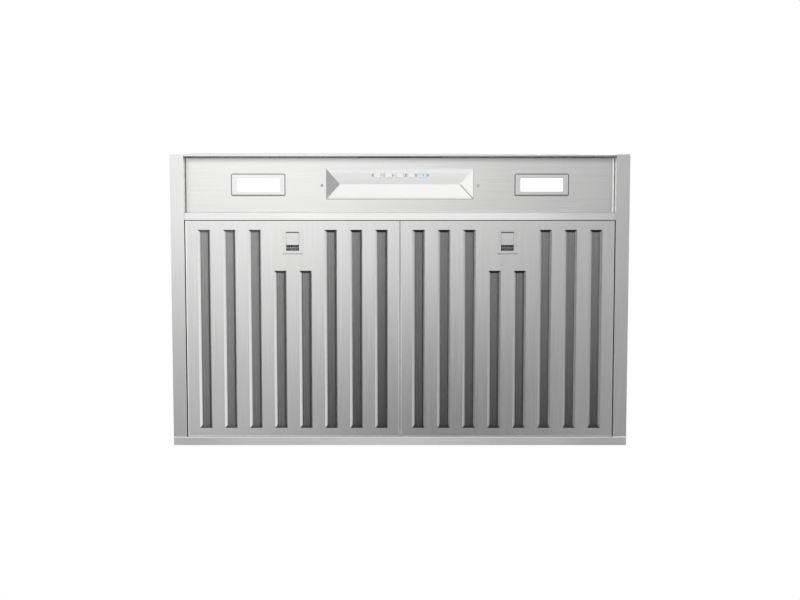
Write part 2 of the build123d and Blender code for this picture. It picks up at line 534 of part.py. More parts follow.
for name, sign in (("left", -1), ("right", 1)):
    middle = sign * filter_x
    low_x, high_x = middle - filter_w / 2, middle + filter_w / 2
    ends = ((low_x, 1), (high_x, -1))   # each side edge, and the way in from it
    notch_y = filter_y[1] - notch_d
    with BuildPart() as filter_face:
        slab((low_x, high_x), filter_y, (filter_z, filter_top))
        inner_y = (filter_y[0] + sheet, filter_y[1] - sheet)
        inner = (filter_z + sheet, filter_top)
        slab((low_x + sheet, high_x - sheet), inner_y, inner, Mode.SUBTRACT)
        for place in slots_of(middle):
            x, y, w, length = place
            cut_x, cut_y = (x - w / 2, x + w / 2), (y - length / 2, y + length / 2)
            slab(cut_x, cut_y, (filter_z, filter_z + sheet), Mode.SUBTRACT)
            for way in (-1, 1):
                slot_side(place, way)
        for edge, way in ends:
            near = sorted((edge, edge + way * notch_x))
            wide = sorted((edge, edge + way * (notch_x + sheet)))
            slab(wide, (notch_y - sheet, filter_y[1]), inner)
            slab(near, (notch_y, filter_y[1]), inner, Mode.SUBTRACT)
            rod("X", (pin_y, pin_z), wide, pin_r + 0.1, Mode.SUBTRACT)
        cup_hole = [half + fit for half in cup_half]
        hole_x = (middle - cup_hole[0], middle + cup_hole[0])
        hole_y = (latch_y - cup_hole[1], latch_y + cup_hole[1])
        slab(hole_x, hole_y, (filter_z, filter_z + sheet), Mode.SUBTRACT)
        bolt_gap = (middle - bolt_w / 2 - bolt_room, middle + bolt_w / 2 + bolt_room)
        bolt_hole_z = (bolt_low - bolt_room, slider_top + bolt_room)
        slab(bolt_gap, (filter_y[0], inner_y[0]), bolt_hole_z, Mode.SUBTRACT)
    filter_face.part.label = f"filter_face_{name}"
    export_step(filter_face.part, f"parts/filter_face_{name}.step")

    inset = sheet + fit
    with BuildPart() as filter_mesh:
        mesh_x = (low_x + inset, high_x - inset)
        mesh_y = (filter_y[0] + inset, filter_y[1] - inset)
        mesh_z = (filter_z + slot_rise, filter_top - back_inset - sheet)
        slab(mesh_x, mesh_y, mesh_z)
        for edge, way in ends:
            corner = sorted((edge, edge + way * mesh_corner))
            slab(corner, (notch_y - 3 * sheet, filter_y[1]), mesh_z, Mode.SUBTRACT)
        bay = cup_half[0] + 3
        slab((middle - bay, middle + bay), (filter_y[0], latch_y + cup_half[1] + 3), mesh_z, Mode.SUBTRACT)
    filter_mesh.part.label = f"filter_mesh_{name}"
    export_step(filter_mesh.part, f"parts/filter_mesh_{name}.step")

    with BuildPart() as filter_back:
        back_z = (mesh_z[1], mesh_z[1] + sheet)
        slab(mesh_x, mesh_y, back_z)
        for edge, way in ends:
            corner = sorted((edge, edge + way * back_corner))
            slab(corner, (notch_y - inset, filter_y[1]), back_z, Mode.SUBTRACT)
        window = (
            (mesh_x[1] - mesh_x[0] - 3 * grille_bar) / grille_cols - grille_bar,
            (mesh_y[1] - mesh_y[0] - 3 * grille_bar) / grille_rows - grille_bar,
        )
        with BuildSketch(Plane.XY.offset(back_z[0])):
            with Locations((middle, sum(mesh_y) / 2)):
                pitch = [length + grille_bar for length in window]
                with GridLocations(*pitch, grille_cols, grille_rows):
                    Rectangle(*window)
        extrude(amount=sheet, mode=Mode.SUBTRACT)
    filter_back.part.label = f"filter_back_{name}"
    export_step(filter_back.part, f"parts/filter_back_{name}.step")

    with BuildPart() as filter_pins:
        for edge, way in ends:
            rod("X", (pin_y, pin_z), (edge + way * fit, edge + way * pin_reach), pin_r)
            head = edge + way * (notch_x + sheet)
            rod("X", (pin_y, pin_z), (head, head + way * pin_head), pin_head_r)
    filter_pins.part.label = f"filter_pins_{name}"
    export_step(filter_pins.part, f"parts/filter_pins_{name}.step")

    with BuildPart() as latch_cup:
        plate_x = (middle - latch_plate[0] / 2, middle + latch_plate[0] / 2)
        plate_y = (latch_y - latch_plate[1] / 2, latch_y + latch_plate[1] / 2)
        cup_x = (middle - cup_half[0], middle + cup_half[0])
        cup_y = (latch_y - cup_half[1], latch_y + cup_half[1])
        slab(plate_x, plate_y, (filter_z - latch_plate_t, filter_z))
        slab(cup_x, cup_y, (filter_z, cup_top))
        hollow_x, hollow_y = [(a[0] + sheet, a[1] - sheet) for a in (cup_x, cup_y)]
        slab(hollow_x, hollow_y, (filter_z, cup_top - sheet), Mode.SUBTRACT)
        window_x = (middle - slider_w / 2 - fit, middle + slider_w / 2 + fit)
        window_y = (filter_y[0] + slider_start - 3 * fit, filter_y[0] + slider_end + slider_travel + fit)
        slab(window_x, window_y, (filter_z - latch_plate_t, filter_z), Mode.SUBTRACT)
        slab(bolt_gap, (cup_y[0], hollow_y[0]), bolt_hole_z, Mode.SUBTRACT)
    latch_cup.part.label = f"latch_cup_{name}"
    export_step(latch_cup.part, f"parts/latch_cup_{name}.step")

    finger_y = (filter_y[0] + finger_start, slider_y[1] - lip_t)
    with BuildPart() as latch_slider:
        slab((middle - slider_w / 2, middle + slider_w / 2), slider_y, (slider_low, slider_top))
        wing = slider_w / 2 + wing_w
        wing_z = (filter_z + fit, filter_z + fit + wing_t)
        slab((middle - wing, middle + wing), (slider_y[0], finger_y[0]), wing_z)
        slab((middle - wing, middle + wing), finger_y, (slider_low, finger_top), Mode.SUBTRACT)
        nose = filter_y[0] - bolt_out
        slab((middle - bolt_w / 2, middle + bolt_w / 2), (nose, slider_y[0]), (bolt_low, slider_top))
        slab((middle - seat_half, middle + seat_half), seat_y, (slider_top, spring_z + seat_above))
        rod("Y", (middle, spring_z), (seat_y[1], seat_y[1] + spigot_l), coil_r - wire_r - fit)
    latch_slider.part.label = f"latch_slider_{name}"
    export_step(latch_slider.part, f"parts/latch_slider_{name}.step")

    with BuildPart() as latch_spring:
        with Locations((middle, 0, 0)):
            add(coil.part)
    latch_spring.part.label = f"latch_spring_{name}"
    export_step(latch_spring.part, f"parts/latch_spring_{name}.step")

# ---------------------------------------------------------------- blower box
hang_room = screw_r + screw_room
collar_screw_r = collar_r + collar_screw_out
with BuildPart() as blower_box:
    slab(box_x, box_y, (canopy_top, box_top))
    slab((-blower_flange_x, blower_flange_x), box_flange_y, (canopy_top, canopy_top + sheet))
    inner_x, inner_y = (box_x[0] + sheet, box_x[1] - sheet), (box_y[0] + sheet, box_y[1] - sheet)
    slab(inner_x, inner_y, (canopy_top, box_top - sheet), Mode.SUBTRACT)
    slab((-wrap_half, wrap_half), outlet_y, (box_top - sheet, box_top), Mode.SUBTRACT)
    for at in box_screws:
        rod("Z", at, (canopy_top, canopy_top + sheet), hang_room, Mode.SUBTRACT)
    collar_screws = [
        (collar_screw_r * cos(pi / 4 + pi / 2 * i), collar_y + collar_screw_r * sin(pi / 4 + pi / 2 * i))
        for i in range(4)
    ]
    for at in collar_screws:
        rod("Z", at, (box_top - sheet, box_top), hang_room, Mode.SUBTRACT)
blower_box.part.label = "blower_box"
export_step(blower_box.part, "parts/blower_box.step")

# ---------------------------------------------------------------- scroll, wheel and motor
shift = scroll_step / 2
arcs = (                             # centre and radius of each quarter, from the tongue round to the outlet
    ((wheel_y - shift, wheel_z - shift), scroll_r),
    ((wheel_y + shift, wheel_z - shift), scroll_r + scroll_step),
    ((wheel_y + shift, wheel_z + shift), scroll_r + 2 * scroll_step),
)
scroll_top = box_top - sheet


def scroll_outline(extra):
    """The scroll seen along the wheel's axis, made larger by extra, up to the box's top plate."""
    (tongue, first_r), (under, second_r), (out, third_r) = arcs
    wall_left, wall_right = tongue[0] - extra, out[0] + third_r + extra
    lead = asin(extra / (first_r + extra))
    with BuildSketch(Plane.YZ) as outline:
        with BuildLine():
            turn = CenterArc(tongue, first_r + extra, 90 + degrees(lead), 90 - degrees(lead))
            CenterArc(under, second_r + extra, 180, 90)
            CenterArc(out, third_r + extra, 270, 90)
            Polyline((wall_right, out[1]), (wall_right, scroll_top), (wall_left, scroll_top), turn @ 0)
        make_face()
    return outline.sketch


with BuildPart() as scroll_wrap:
    extrude(scroll_outline(sheet), amount=wrap_half, both=True)
    extrude(scroll_outline(0), amount=wrap_half, both=True, mode=Mode.SUBTRACT)
scroll_wrap.part.label = "scroll_wrap"
export_step(scroll_wrap.part, "parts/scroll_wrap.step")

bolt_angles = (60, 180, 300)
bolt_places = []
for angle in bolt_angles:
    along_y, along_z = polar(motor_bolt_at, angle)
    bolt_places.append((wheel_y + along_y, wheel_z + along_z))
for name, sign in (("left", -1), ("right", 1)):
    with BuildPart() as scroll_side:
        bell_out = bell_r + bell_round
        extrude(scroll_outline(sheet), amount=sign * scroll_half)
        extrude(scroll_outline(sheet), amount=sign * wrap_half, mode=Mode.SUBTRACT)
        slab(out_x(sign, wrap_half, scroll_half + scroll_tab), outlet_y, (scroll_top - sheet, scroll_top))
        rod("X", (wheel_y, wheel_z), out_x(sign, wrap_half, scroll_half), bell_out, Mode.SUBTRACT)
        with BuildSketch(Plane.XZ.offset(-wheel_y)):
            with BuildLine():
                mouth, throat = sign * scroll_half, sign * (scroll_half - bell_round)
                CenterArc((throat, wheel_z + bell_out), bell_round, -90, sign * 90)
                CenterArc((throat, wheel_z + bell_out), bell_round - sheet, -90, sign * 90)
                Line((throat, wheel_z + bell_r), (throat, wheel_z + bell_r + sheet))
                Line((mouth, wheel_z + bell_out), (mouth - sign * sheet, wheel_z + bell_out))
            make_face()
        revolve(axis=Axis((0, wheel_y, wheel_z), (1, 0, 0)))
        if sign > 0:
            for at in bolt_places:
                rod("X", at, (wrap_half, scroll_half), hang_room, Mode.SUBTRACT)
    scroll_side.part.label = f"scroll_side_{name}"
    export_step(scroll_side.part, f"parts/scroll_side_{name}.step")


def at_wheel(x):
    """Across the wheel's axis, its origin on the axis."""
    return Plane(origin=(x, wheel_y, wheel_z), x_dir=(0, 1, 0), z_dir=(1, 0, 0))


mid_r = (wheel_r + blade_in_r) / 2
blade_end = wheel_half - wheel_ring_t
with BuildPart() as blower_wheel:
    with BuildSketch(at_wheel(-blade_end)):
        thick = degrees(blade_t / mid_r)
        for i in range(blade_count):
            root = 360 * i / blade_count
            tip, bulge = root + blade_sweep, root + blade_sweep * 0.15
            with BuildLine():
                ThreePointArc(polar(blade_in_r, root), polar(mid_r, bulge), polar(wheel_r, tip))
                Line(polar(wheel_r, tip), polar(wheel_r, tip + thick))
                ThreePointArc(
                    polar(wheel_r, tip + thick), polar(mid_r, bulge + thick), polar(blade_in_r, root + thick)
                )
                Line(polar(blade_in_r, root + thick), polar(blade_in_r, root))
            make_face()
    extrude(amount=2 * blade_end)
blower_wheel.part.label = "blower_wheel"
export_step(blower_wheel.part, "parts/blower_wheel.step")

with BuildPart() as wheel_rings:
    for x in (-wheel_half, blade_end):
        with BuildSketch(at_wheel(x)):
            Circle(wheel_r + sheet / 2)
            Circle(mid_r, mode=Mode.SUBTRACT)
        extrude(amount=wheel_ring_t)
wheel_rings.part.label = "wheel_rings"
export_step(wheel_rings.part, "parts/wheel_rings.step")

with BuildPart() as wheel_disc:
    rod("X", (wheel_y, wheel_z), (-sheet, sheet), blade_in_r)
    rod("X", (wheel_y, wheel_z), (-hub_half, hub_half), hub_r)
    rod("X", (wheel_y, wheel_z), (-hub_half, hub_half), shaft_r + shaft_room, Mode.SUBTRACT)
wheel_disc.part.label = "wheel_disc"
export_step(wheel_disc.part, "parts/wheel_disc.step")

motor_x = (hub_half + motor_gap, scroll_half + motor_stand)
shaft_x = (-hub_half - shaft_end, motor_x[1] - shaft_short)
with BuildPart() as rotor_shaft:
    rod("X", (wheel_y, wheel_z), shaft_x, shaft_r)
    chamfer(rotor_shaft.edges().filter_by(GeomType.CIRCLE), 0.6)
rotor_shaft.part.label = "rotor_shaft"
export_step(rotor_shaft.part, "parts/rotor_shaft.step")

with BuildPart() as motor_body:
    rod("X", (wheel_y, wheel_z), motor_x, motor_r)
    chamfer(motor_body.edges().filter_by(GeomType.CIRCLE), motor_edge)
    rod("X", (wheel_y, wheel_z), (motor_x[0], shaft_x[1] + 2), shaft_r + shaft_room, Mode.SUBTRACT)
motor_body.part.label = "motor_body"
export_step(motor_body.part, "parts/motor_body.step")

bracket_r = motor_bolt_at + bracket_edge
with BuildPart() as motor_bracket:
    with BuildSketch(at_wheel(motor_x[1])):
        Circle(motor_r * 0.6)
        for angle in bolt_angles:
            with Locations(Location((*polar(bracket_r / 2, angle), 0), (0, 0, angle))):
                Rectangle(bracket_r, bracket_arm)
    extrude(amount=bracket_t)
    with BuildSketch(at_wheel(scroll_half)):
        for angle in bolt_angles:
            with Locations(Location((*polar(motor_bolt_at, angle), 0), (0, 0, angle))):
                Rectangle(2 * bracket_edge, bracket_arm)
    extrude(amount=motor_x[1] - scroll_half)
    for at in bolt_places:
        rod("X", at, (scroll_half, motor_x[1] + bracket_t), hang_room, Mode.SUBTRACT)
motor_bracket.part.label = "motor_bracket"
export_step(motor_bracket.part, "parts/motor_bracket.step")

with BuildPart() as motor_bolts:
    for at in bolt_places:
        head_x = motor_x[1] + bracket_t
        rod("X", at, (head_x, head_x + screw_head_h), screw_head_r)
        rod("X", at, (head_x - motor_bolt_l, head_x), screw_r)
motor_bolts.part.label = "motor_bolts"
export_step(motor_bolts.part, "parts/motor_bolts.step")

cap_at = (box_x[0] + cap_in, box_y[0] + sheet + cap_back + cap_r)
cap_z = (canopy_top + cap_up, canopy_top + cap_up + cap_h)
with BuildPart() as capacitor:
    rod("Z", cap_at, cap_z, cap_r)
    for x in (cap_at[0] - lug_apart, cap_at[0] + lug_apart):
        lug_y = (cap_at[1] - lug_half, cap_at[1] + lug_half)
        slab((x - lug_t / 2, x + lug_t / 2), lug_y, (cap_z[1], cap_z[1] + lug_h))
capacitor.part.label = "capacitor"
export_step(capacitor.part, "parts/capacitor.step")

with BuildPart() as capacitor_clamp:
    band_z = (cap_z[0] + cap_band_up, cap_z[0] + cap_band_up + cap_band_h)
    rod("Z", cap_at, band_z, cap_r + cap_band_t)
    pad_x = (cap_at[0] - cap_band_half, cap_at[0] + cap_band_half)
    slab(pad_x, (box_y[0] + sheet, box_y[0] + sheet + 2 * cap_band_t), band_z)
    rod("Z", cap_at, band_z, cap_r + cap_room, Mode.SUBTRACT)
capacitor_clamp.part.label = "capacitor_clamp"
export_step(capacitor_clamp.part, "parts/capacitor_clamp.step")

# ---------------------------------------------------------------- duct collar and backdraught flaps
collar_in = collar_r - sheet
flap_r = collar_in - 1.5
pivot_z = flap_z + knuckle_r
with BuildPart() as duct_collar:
    rod("Z", (0, collar_y), (box_top, hood_h), collar_r)
    rod("Z", (0, collar_y), (box_top, box_top + flange_t), collar_r + collar_flange)
    rod("Z", (0, collar_y), (box_top, hood_h), collar_in, Mode.SUBTRACT)
    with BuildSketch(Plane.XY.offset(box_top + bead_z)):
        with Locations((0, collar_y)):
            Circle(collar_in + sheet / 2)
            Circle(collar_in - collar_bead, mode=Mode.SUBTRACT)
    extrude(amount=bead_t)
    rod("X", (collar_y, pivot_z), (-collar_r, collar_r), damper_r + damper_room, Mode.SUBTRACT)
    for at in collar_screws:
        rod("Z", at, (box_top, box_top + flange_t), hang_room, Mode.SUBTRACT)
duct_collar.part.label = "duct_collar"
export_step(duct_collar.part, "parts/duct_collar.step")

with BuildPart() as damper_shaft:
    rod("X", (collar_y, pivot_z), (-collar_r, collar_r), damper_r)
damper_shaft.part.label = "damper_shaft"
export_step(damper_shaft.part, "parts/damper_shaft.step")

front_xs = (-2 * knuckle_pitch, 0, 2 * knuckle_pitch)
rear_xs = (-knuckle_pitch, knuckle_pitch)
for name, sign, knuckle_xs, other_xs in (("front", -1, front_xs, rear_xs), ("rear", 1, rear_xs, front_xs)):
    with BuildPart() as flap:
        with BuildSketch(Plane.XY.offset(flap_z)):
            with Locations((0, collar_y)):
                Circle(flap_r)
                half_y = sorted((sign * flap_t / 2, -sign * (flap_r + 1)))
                with Locations((0, sum(half_y) / 2)):
                    Rectangle(2 * flap_r, half_y[1] - half_y[0], mode=Mode.SUBTRACT)
                cut = (2 * (knuckle_half + knuckle_gap), 2 * (knuckle_r + knuckle_gap))
                with Locations(*[(x, 0) for x in other_xs]):
                    Rectangle(*cut, mode=Mode.SUBTRACT)
        extrude(amount=flap_t)
        for x in knuckle_xs:
            rod("X", (collar_y, pivot_z), (x - knuckle_half, x + knuckle_half), knuckle_r)
        rod("X", (collar_y, pivot_z), (-flap_r, flap_r), damper_r + damper_room, Mode.SUBTRACT)
    flap.part.label = f"damper_flap_{name}"
    export_step(flap.part, f"parts/damper_flap_{name}.step")

# ---------------------------------------------------------------- wiring box, hanging brackets and screws
junction_mid = -(blower_flange_x + hang_leg[0]) / 2   # midway between the blower and the left bracket
junction_x = (junction_mid - junction_size[0] / 2, junction_mid + junction_size[0] / 2)
junction_y = (junction_start, junction_start + junction_size[1])
junction_top = canopy_top + junction_size[2]
knock_at = (junction_mid, canopy_top + junction_size[2] / 2)
cover_xs = (junction_x[0] + cover_screw_in, junction_x[1] - cover_screw_in)
cover_screws = [(x, sum(junction_y) / 2) for x in cover_xs]
with BuildPart() as junction_box:
    slab(junction_x, junction_y, (canopy_top, junction_top))
    hollow = [(a[0] + junction_wall, a[1] - junction_wall) for a in (junction_x, junction_y)]
    slab(*hollow, (canopy_top + junction_wall, junction_top), Mode.SUBTRACT)
    for x, y in cover_screws:
        ear_z = (junction_top - ear_h, junction_top)
        slab((x - ear_half[0], x + ear_half[0]), (y - ear_half[1], y + ear_half[1]), ear_z)
        rod("Z", (x, y), ear_z, hang_room, Mode.SUBTRACT)
    rod("Y", knock_at, (junction_y[1] - junction_wall, junction_y[1]), knockout_r, Mode.SUBTRACT)
junction_box.part.label = "junction_box"
export_step(junction_box.part, "parts/junction_box.step")

with BuildPart() as junction_cover:
    slab(junction_x, junction_y, (junction_top, junction_top + junction_wall))
    for at in cover_screws:
        rod("Z", at, (junction_top, junction_top + junction_wall), hang_room, Mode.SUBTRACT)
junction_cover.part.label = "junction_cover"
export_step(junction_cover.part, "parts/junction_cover.step")

with BuildPart() as terminal_block:
    floor_z = canopy_top + junction_wall
    block_x = (junction_x[0] + block_in[0], junction_x[1] - block_in[0])
    block_y = (junction_y[0] + block_in[1], junction_y[0] + block_in[1] + block_d)
    slab(block_x, block_y, (floor_z, floor_z + block_h))
    way = (block_x[1] - block_x[0]) / block_ways
    way_y, way_z = (block_y[0] + way_edge, block_y[1] - way_edge), (floor_z + way_floor, floor_z + block_h)
    for i in range(block_ways):
        x = block_x[0] + way * (i + 0.5)
        slab((x - way / 3, x + way / 3), way_y, way_z, Mode.SUBTRACT)
terminal_block.part.label = "terminal_block"
export_step(terminal_block.part, "parts/terminal_block.step")

for name, sign in (("left", -1), ("right", 1)):
    with BuildPart() as hang_bracket:
        bar_y = (-hang_half_y, hang_half_y)
        upright = hang_x - hang_web_in
        slab(out_x(sign, hang_leg[0], upright), bar_y, (canopy_top, canopy_top + hang_t))
        slab(out_x(sign, upright - hang_t, upright), bar_y, (canopy_top, canopy_top + hang_h))
        top = (canopy_top + hang_h - hang_t, canopy_top + hang_h)
        slab(out_x(sign, upright - hang_t, hang_leg[1]), bar_y, top)
        for y in (-hang_y, hang_y):
            rod("Z", (sign * hang_x, y), top, hang_r, Mode.SUBTRACT)
        for x, y in hang_screws:
            if x * sign > 0:
                rod("Z", (x, y), (canopy_top, canopy_top + hang_t), hang_room, Mode.SUBTRACT)
    hang_bracket.part.label = f"hang_bracket_{name}"
    export_step(hang_bracket.part, f"parts/hang_bracket_{name}.step")

seats = [(at, canopy_top + sheet) for at in box_screws]
seats += [(at, canopy_top + hang_t) for at in hang_screws]
seats += [(at, box_top + flange_t) for at in collar_screws]
seats += [(at, junction_top + junction_wall) for at in cover_screws]
with BuildPart() as pan_screws:
    for at, z in seats:
        rod("Z", at, (z, z + screw_head_h), screw_head_r)
        rod("Z", at, (z - screw_l, z), screw_r)
pan_screws.part.label = "pan_screws"
export_step(pan_screws.part, "parts/pan_screws.step")
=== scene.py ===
import math

import bpy
import numpy as np
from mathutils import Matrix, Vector


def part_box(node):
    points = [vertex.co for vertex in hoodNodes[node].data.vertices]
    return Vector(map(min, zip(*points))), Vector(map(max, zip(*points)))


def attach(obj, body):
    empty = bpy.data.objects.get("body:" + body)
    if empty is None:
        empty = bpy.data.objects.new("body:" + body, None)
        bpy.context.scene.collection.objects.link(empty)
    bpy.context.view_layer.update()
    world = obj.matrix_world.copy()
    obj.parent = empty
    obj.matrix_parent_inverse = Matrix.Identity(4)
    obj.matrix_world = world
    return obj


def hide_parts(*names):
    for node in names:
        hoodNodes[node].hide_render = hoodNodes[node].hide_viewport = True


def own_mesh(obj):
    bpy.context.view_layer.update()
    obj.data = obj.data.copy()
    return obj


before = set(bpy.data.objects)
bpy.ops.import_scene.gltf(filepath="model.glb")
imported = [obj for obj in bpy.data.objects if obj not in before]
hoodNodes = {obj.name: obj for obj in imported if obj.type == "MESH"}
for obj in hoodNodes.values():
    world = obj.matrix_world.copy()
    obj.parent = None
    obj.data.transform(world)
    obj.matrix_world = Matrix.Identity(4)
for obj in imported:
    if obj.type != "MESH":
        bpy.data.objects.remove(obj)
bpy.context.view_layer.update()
print("hood frame loaded,", len(hoodNodes), "nodes")


class Wire:
    # wraps an output socket; an operator on it adds the Math node that works it out
    def __init__(self, graph, socket):
        self.graph, self.socket = graph, socket

    def maths(self, operation, first, second=0.0):
        # one operation on one or two values, each a number or a wire
        return self.graph.node("ShaderNodeMath", {"operation": operation}, {0: first, 1: second})

    def __add__(self, other): return self.maths("ADD", self, other)
    def __radd__(self, other): return self.maths("ADD", other, self)
    def __sub__(self, other): return self.maths("SUBTRACT", self, other)
    def __rsub__(self, other): return self.maths("SUBTRACT", other, self)
    def __mul__(self, other): return self.maths("MULTIPLY", self, other)
    def __rmul__(self, other): return self.maths("MULTIPLY", other, self)
    def __truediv__(self, other): return self.maths("DIVIDE", self, other)
    def __rtruediv__(self, other): return self.maths("DIVIDE", other, self)
    def __pow__(self, other): return self.maths("POWER", self, other)
    def __rpow__(self, other): return self.maths("POWER", other, self)
    def sine(self): return self.maths("SINE", self)
    def size(self): return self.maths("ABSOLUTE", self)
    def least(self, other): return self.maths("MINIMUM", self, other)
    def most(self, other): return self.maths("MAXIMUM", self, other)


class Graph:
    # one node tree; node() makes every node in it
    def __init__(self, tree):
        self.tree = tree
        tree.nodes.clear()

    def node(self, kind, settings=None, sockets=None, output=0):
        # a node of one kind: its settings first, then the values or links of its sockets
        made = self.tree.nodes.new(kind)
        for name, value in (settings or {}).items():
            setattr(made, name, value)
        for name, value in (sockets or {}).items():
            if isinstance(value, Wire):
                self.tree.links.new(value.socket, made.inputs[name])
            else:
                made.inputs[name].default_value = value
        return Wire(self, made.outputs[output]) if made.outputs else made

    def place(self):
        # the point on the piece, in metres in the hood's own frame
        return self.node("ShaderNodeTexCoord", {}, {}, "Object")

    def along(self, place=None):
        # the three coordinates of a point as separate numbers, of the point on the piece if none is given
        split = self.node("ShaderNodeSeparateXYZ", {}, {0: place or self.place()})
        outputs = split.socket.node.outputs
        return [Wire(self, outputs[axis]) for axis in range(3)]

    def noise(self, place, scale, detail=2.0, rough=0.5):
        # cloudy noise; scale is cells per metre, one number or one for each axis
        if not isinstance(scale, (int, float)):
            place = self.node("ShaderNodeMapping", {}, {"Vector": place, "Scale": scale})
            scale = 1.0
        return self.node("ShaderNodeTexNoise", {},
                         {"Vector": place, "Scale": scale, "Detail": detail, "Roughness": rough})

    def cells(self, place, scale, output, feature="F1"):
        # random cells, so many per metre
        return self.node("ShaderNodeTexVoronoi", {"feature": feature},
                         {"Vector": place, "Scale": scale}, output)

    def ease(self, value, low, high):
        # 0 below low, 1 above high, smooth between them
        return self.node("ShaderNodeMapRange", {"interpolation_type": "SMOOTHSTEP"},
                         {0: value, 1: low, 2: high, 3: 0.0, 4: 1.0})

    def fade(self, value, low, high):
        # 1 below low, 0 above high, smooth between them
        return 1.0 - self.ease(value, low, high)

    def rim(self, value, edge, inset):
        # rises from 0 to 1 between two distances short of an edge
        return self.ease(value, edge - inset[0], edge - inset[1])

    def between(self, mask, low, high):
        # low where the mask is 0, high where it is 1
        return mask * (high - low) + low

    def facing(self):
        # the three parts of the direction that the surface faces
        return self.along(self.node("ShaderNodeNewGeometry", {}, {}, "True Normal"))

    def tint(self, mask, under, over):
        # colour under where the mask is 0, colour over where it is 1
        return self.node("ShaderNodeMix", {"data_type": "RGBA"}, {0: mask, 6: under, 7: over}, 2)

    def scaled(self, colour, factor):
        # every part of the colour times one number
        return self.node("ShaderNodeVectorMath", {"operation": "SCALE"}, {0: colour, "Scale": factor})

    def bump(self, height, strength, depth, leaning=None):
        # relief from a height, on the surface's own direction or on the one that leaning gives
        sockets = {"Strength": strength, "Distance": depth, "Height": height}
        if leaning:
            sockets["Normal"] = leaning
        return self.node("ShaderNodeBump", {}, sockets)


def grey(level, warm=0.0):
    # a neutral colour, a little warmer where warm is above 0
    return (level + warm, level, level - warm, 1.0)


def times(tone, factor):
    # a colour with its three parts multiplied by one number, none above 1
    return tuple(min(1.0, part * factor) for part in tone[:3]) + (1.0,)


def finishMaterial(name, paint, **fixed):
    # paint(graph) gives what changes over the surface; fixed holds the sockets that stay one value
    material = bpy.data.materials.new(name)
    material.use_nodes = True
    graph = Graph(material.node_tree)
    shader = graph.node("ShaderNodeBsdfPrincipled", {}, {**fixed, **paint(graph)})
    graph.node("ShaderNodeOutputMaterial", {}, {"Surface": shader})
    return material


def stretched(grain, run, fine):
    # cells per metre for each axis: few along the grain, many across it
    return [run if axis == grain else fine for axis in "xyz"]


brushed = {"fineCells": 2100.0, "broadCells": 760.0, "runCells": 9.0, "cloudCells": 9.0,
           "hairShare": 0.55, "bandShare": 0.3, "cloudShare": 0.15, "contrast": (0.3, 0.7),
           "dark": 0.64, "light": 0.72, "warm": 0.002, "roughSpread": 0.08, "scratchDepth": 0.00003}


def brushedSteel(name, grain, lift=0.0, rough=0.26, over=None, leaning=None):
    # stainless brushed along one axis: noise squeezed across the grain gives the hairlines, a second
    # one nearly three times broader the bands, and a cloudy one the slow change of tone;
    # over(graph, colour) may tint the result, and leaning(graph) may give the direction that it shades by
    def paint(graph):
        place = graph.place()
        hairs = graph.noise(place, stretched(grain, brushed["runCells"], brushed["fineCells"]),
                            detail=3.0, rough=0.65)
        bands = graph.noise(place, stretched(grain, brushed["runCells"], brushed["broadCells"]))
        cloud = graph.noise(place, brushed["cloudCells"])
        streak = hairs * brushed["hairShare"] + bands * brushed["bandShare"] + cloud * brushed["cloudShare"]
        dark, light = (grey(brushed[key] + lift, brushed["warm"]) for key in ("dark", "light"))
        colour = graph.tint(graph.ease(streak, *brushed["contrast"]), dark, light)
        half = brushed["roughSpread"] / 2
        return {"Base Color": over(graph, colour) if over else colour,
                "Roughness": graph.between(streak, rough - half, rough + half),
                "Normal": graph.bump(streak, strength=0.35, depth=brushed["scratchDepth"],
                                     leaning=leaning(graph) if leaning else None)}
    return finishMaterial(name, paint, Metallic=1.0)


spangle = {"cells": 105.0, "cloudCells": 60.0, "cellShare": 0.7, "cloudShare": 0.3, "border": 0.08,
           "borderShare": 0.35, "borderTone": 0.35, "dark": (0.42, 0.44, 0.46, 1.0),
           "light": (0.68, 0.70, 0.72, 1.0), "rough": (0.3, 0.52), "crystalRise": 0.4}


def galvanisedSheet(name):
    # zinc spangle: each crystal a cell of its own tone and sheen, with a faint dark border
    def paint(graph):
        place = graph.place()
        crystal = graph.along(graph.cells(place, spangle["cells"], "Color"))[0]
        border = graph.cells(place, spangle["cells"], "Distance", feature="DISTANCE_TO_EDGE")
        cloud = graph.noise(place, spangle["cloudCells"])
        tone = crystal * spangle["cellShare"] + cloud * spangle["cloudShare"]
        inside = graph.between(graph.ease(border, 0.0, spangle["border"]), 1.0 - spangle["borderShare"], 1.0)
        colour = graph.tint(tone, spangle["dark"], spangle["light"])
        return {"Base Color": graph.tint(inside, grey(spangle["borderTone"]), colour),
                "Roughness": graph.between(tone, *spangle["rough"]),
                "Normal": graph.bump(border + tone * spangle["crystalRise"], strength=0.2, depth=0.0001)}
    return finishMaterial(name, paint, Metallic=0.85)


rolled = {"fineCells": 700.0, "runCells": 14.0, "oxideCells": 45.0, "lineShare": 0.6, "oxideShare": 0.4,
          "contrast": (0.32, 0.68), "dark": (0.52, 0.53, 0.55, 1.0), "light": (0.72, 0.73, 0.74, 1.0),
          "roughSpread": 0.16}


def millAluminium(name, grain, rough=0.36):
    # rolled aluminium: faint lines along the rolling direction and a matt, cloudy oxide
    def paint(graph):
        place = graph.place()
        lines = graph.noise(place, stretched(grain, rolled["runCells"], rolled["fineCells"]),
                            detail=3.0, rough=0.6)
        oxide = graph.noise(place, rolled["oxideCells"], detail=4.0, rough=0.6)
        mask = graph.ease(lines * rolled["lineShare"] + oxide * rolled["oxideShare"], *rolled["contrast"])
        half = rolled["roughSpread"] / 2
        return {"Base Color": graph.tint(mask, rolled["dark"], rolled["light"]),
                "Roughness": graph.between(oxide, rough - half, rough + half),
                "Normal": graph.bump(lines, strength=0.25, depth=0.00006)}
    return finishMaterial(name, paint, Metallic=0.95)


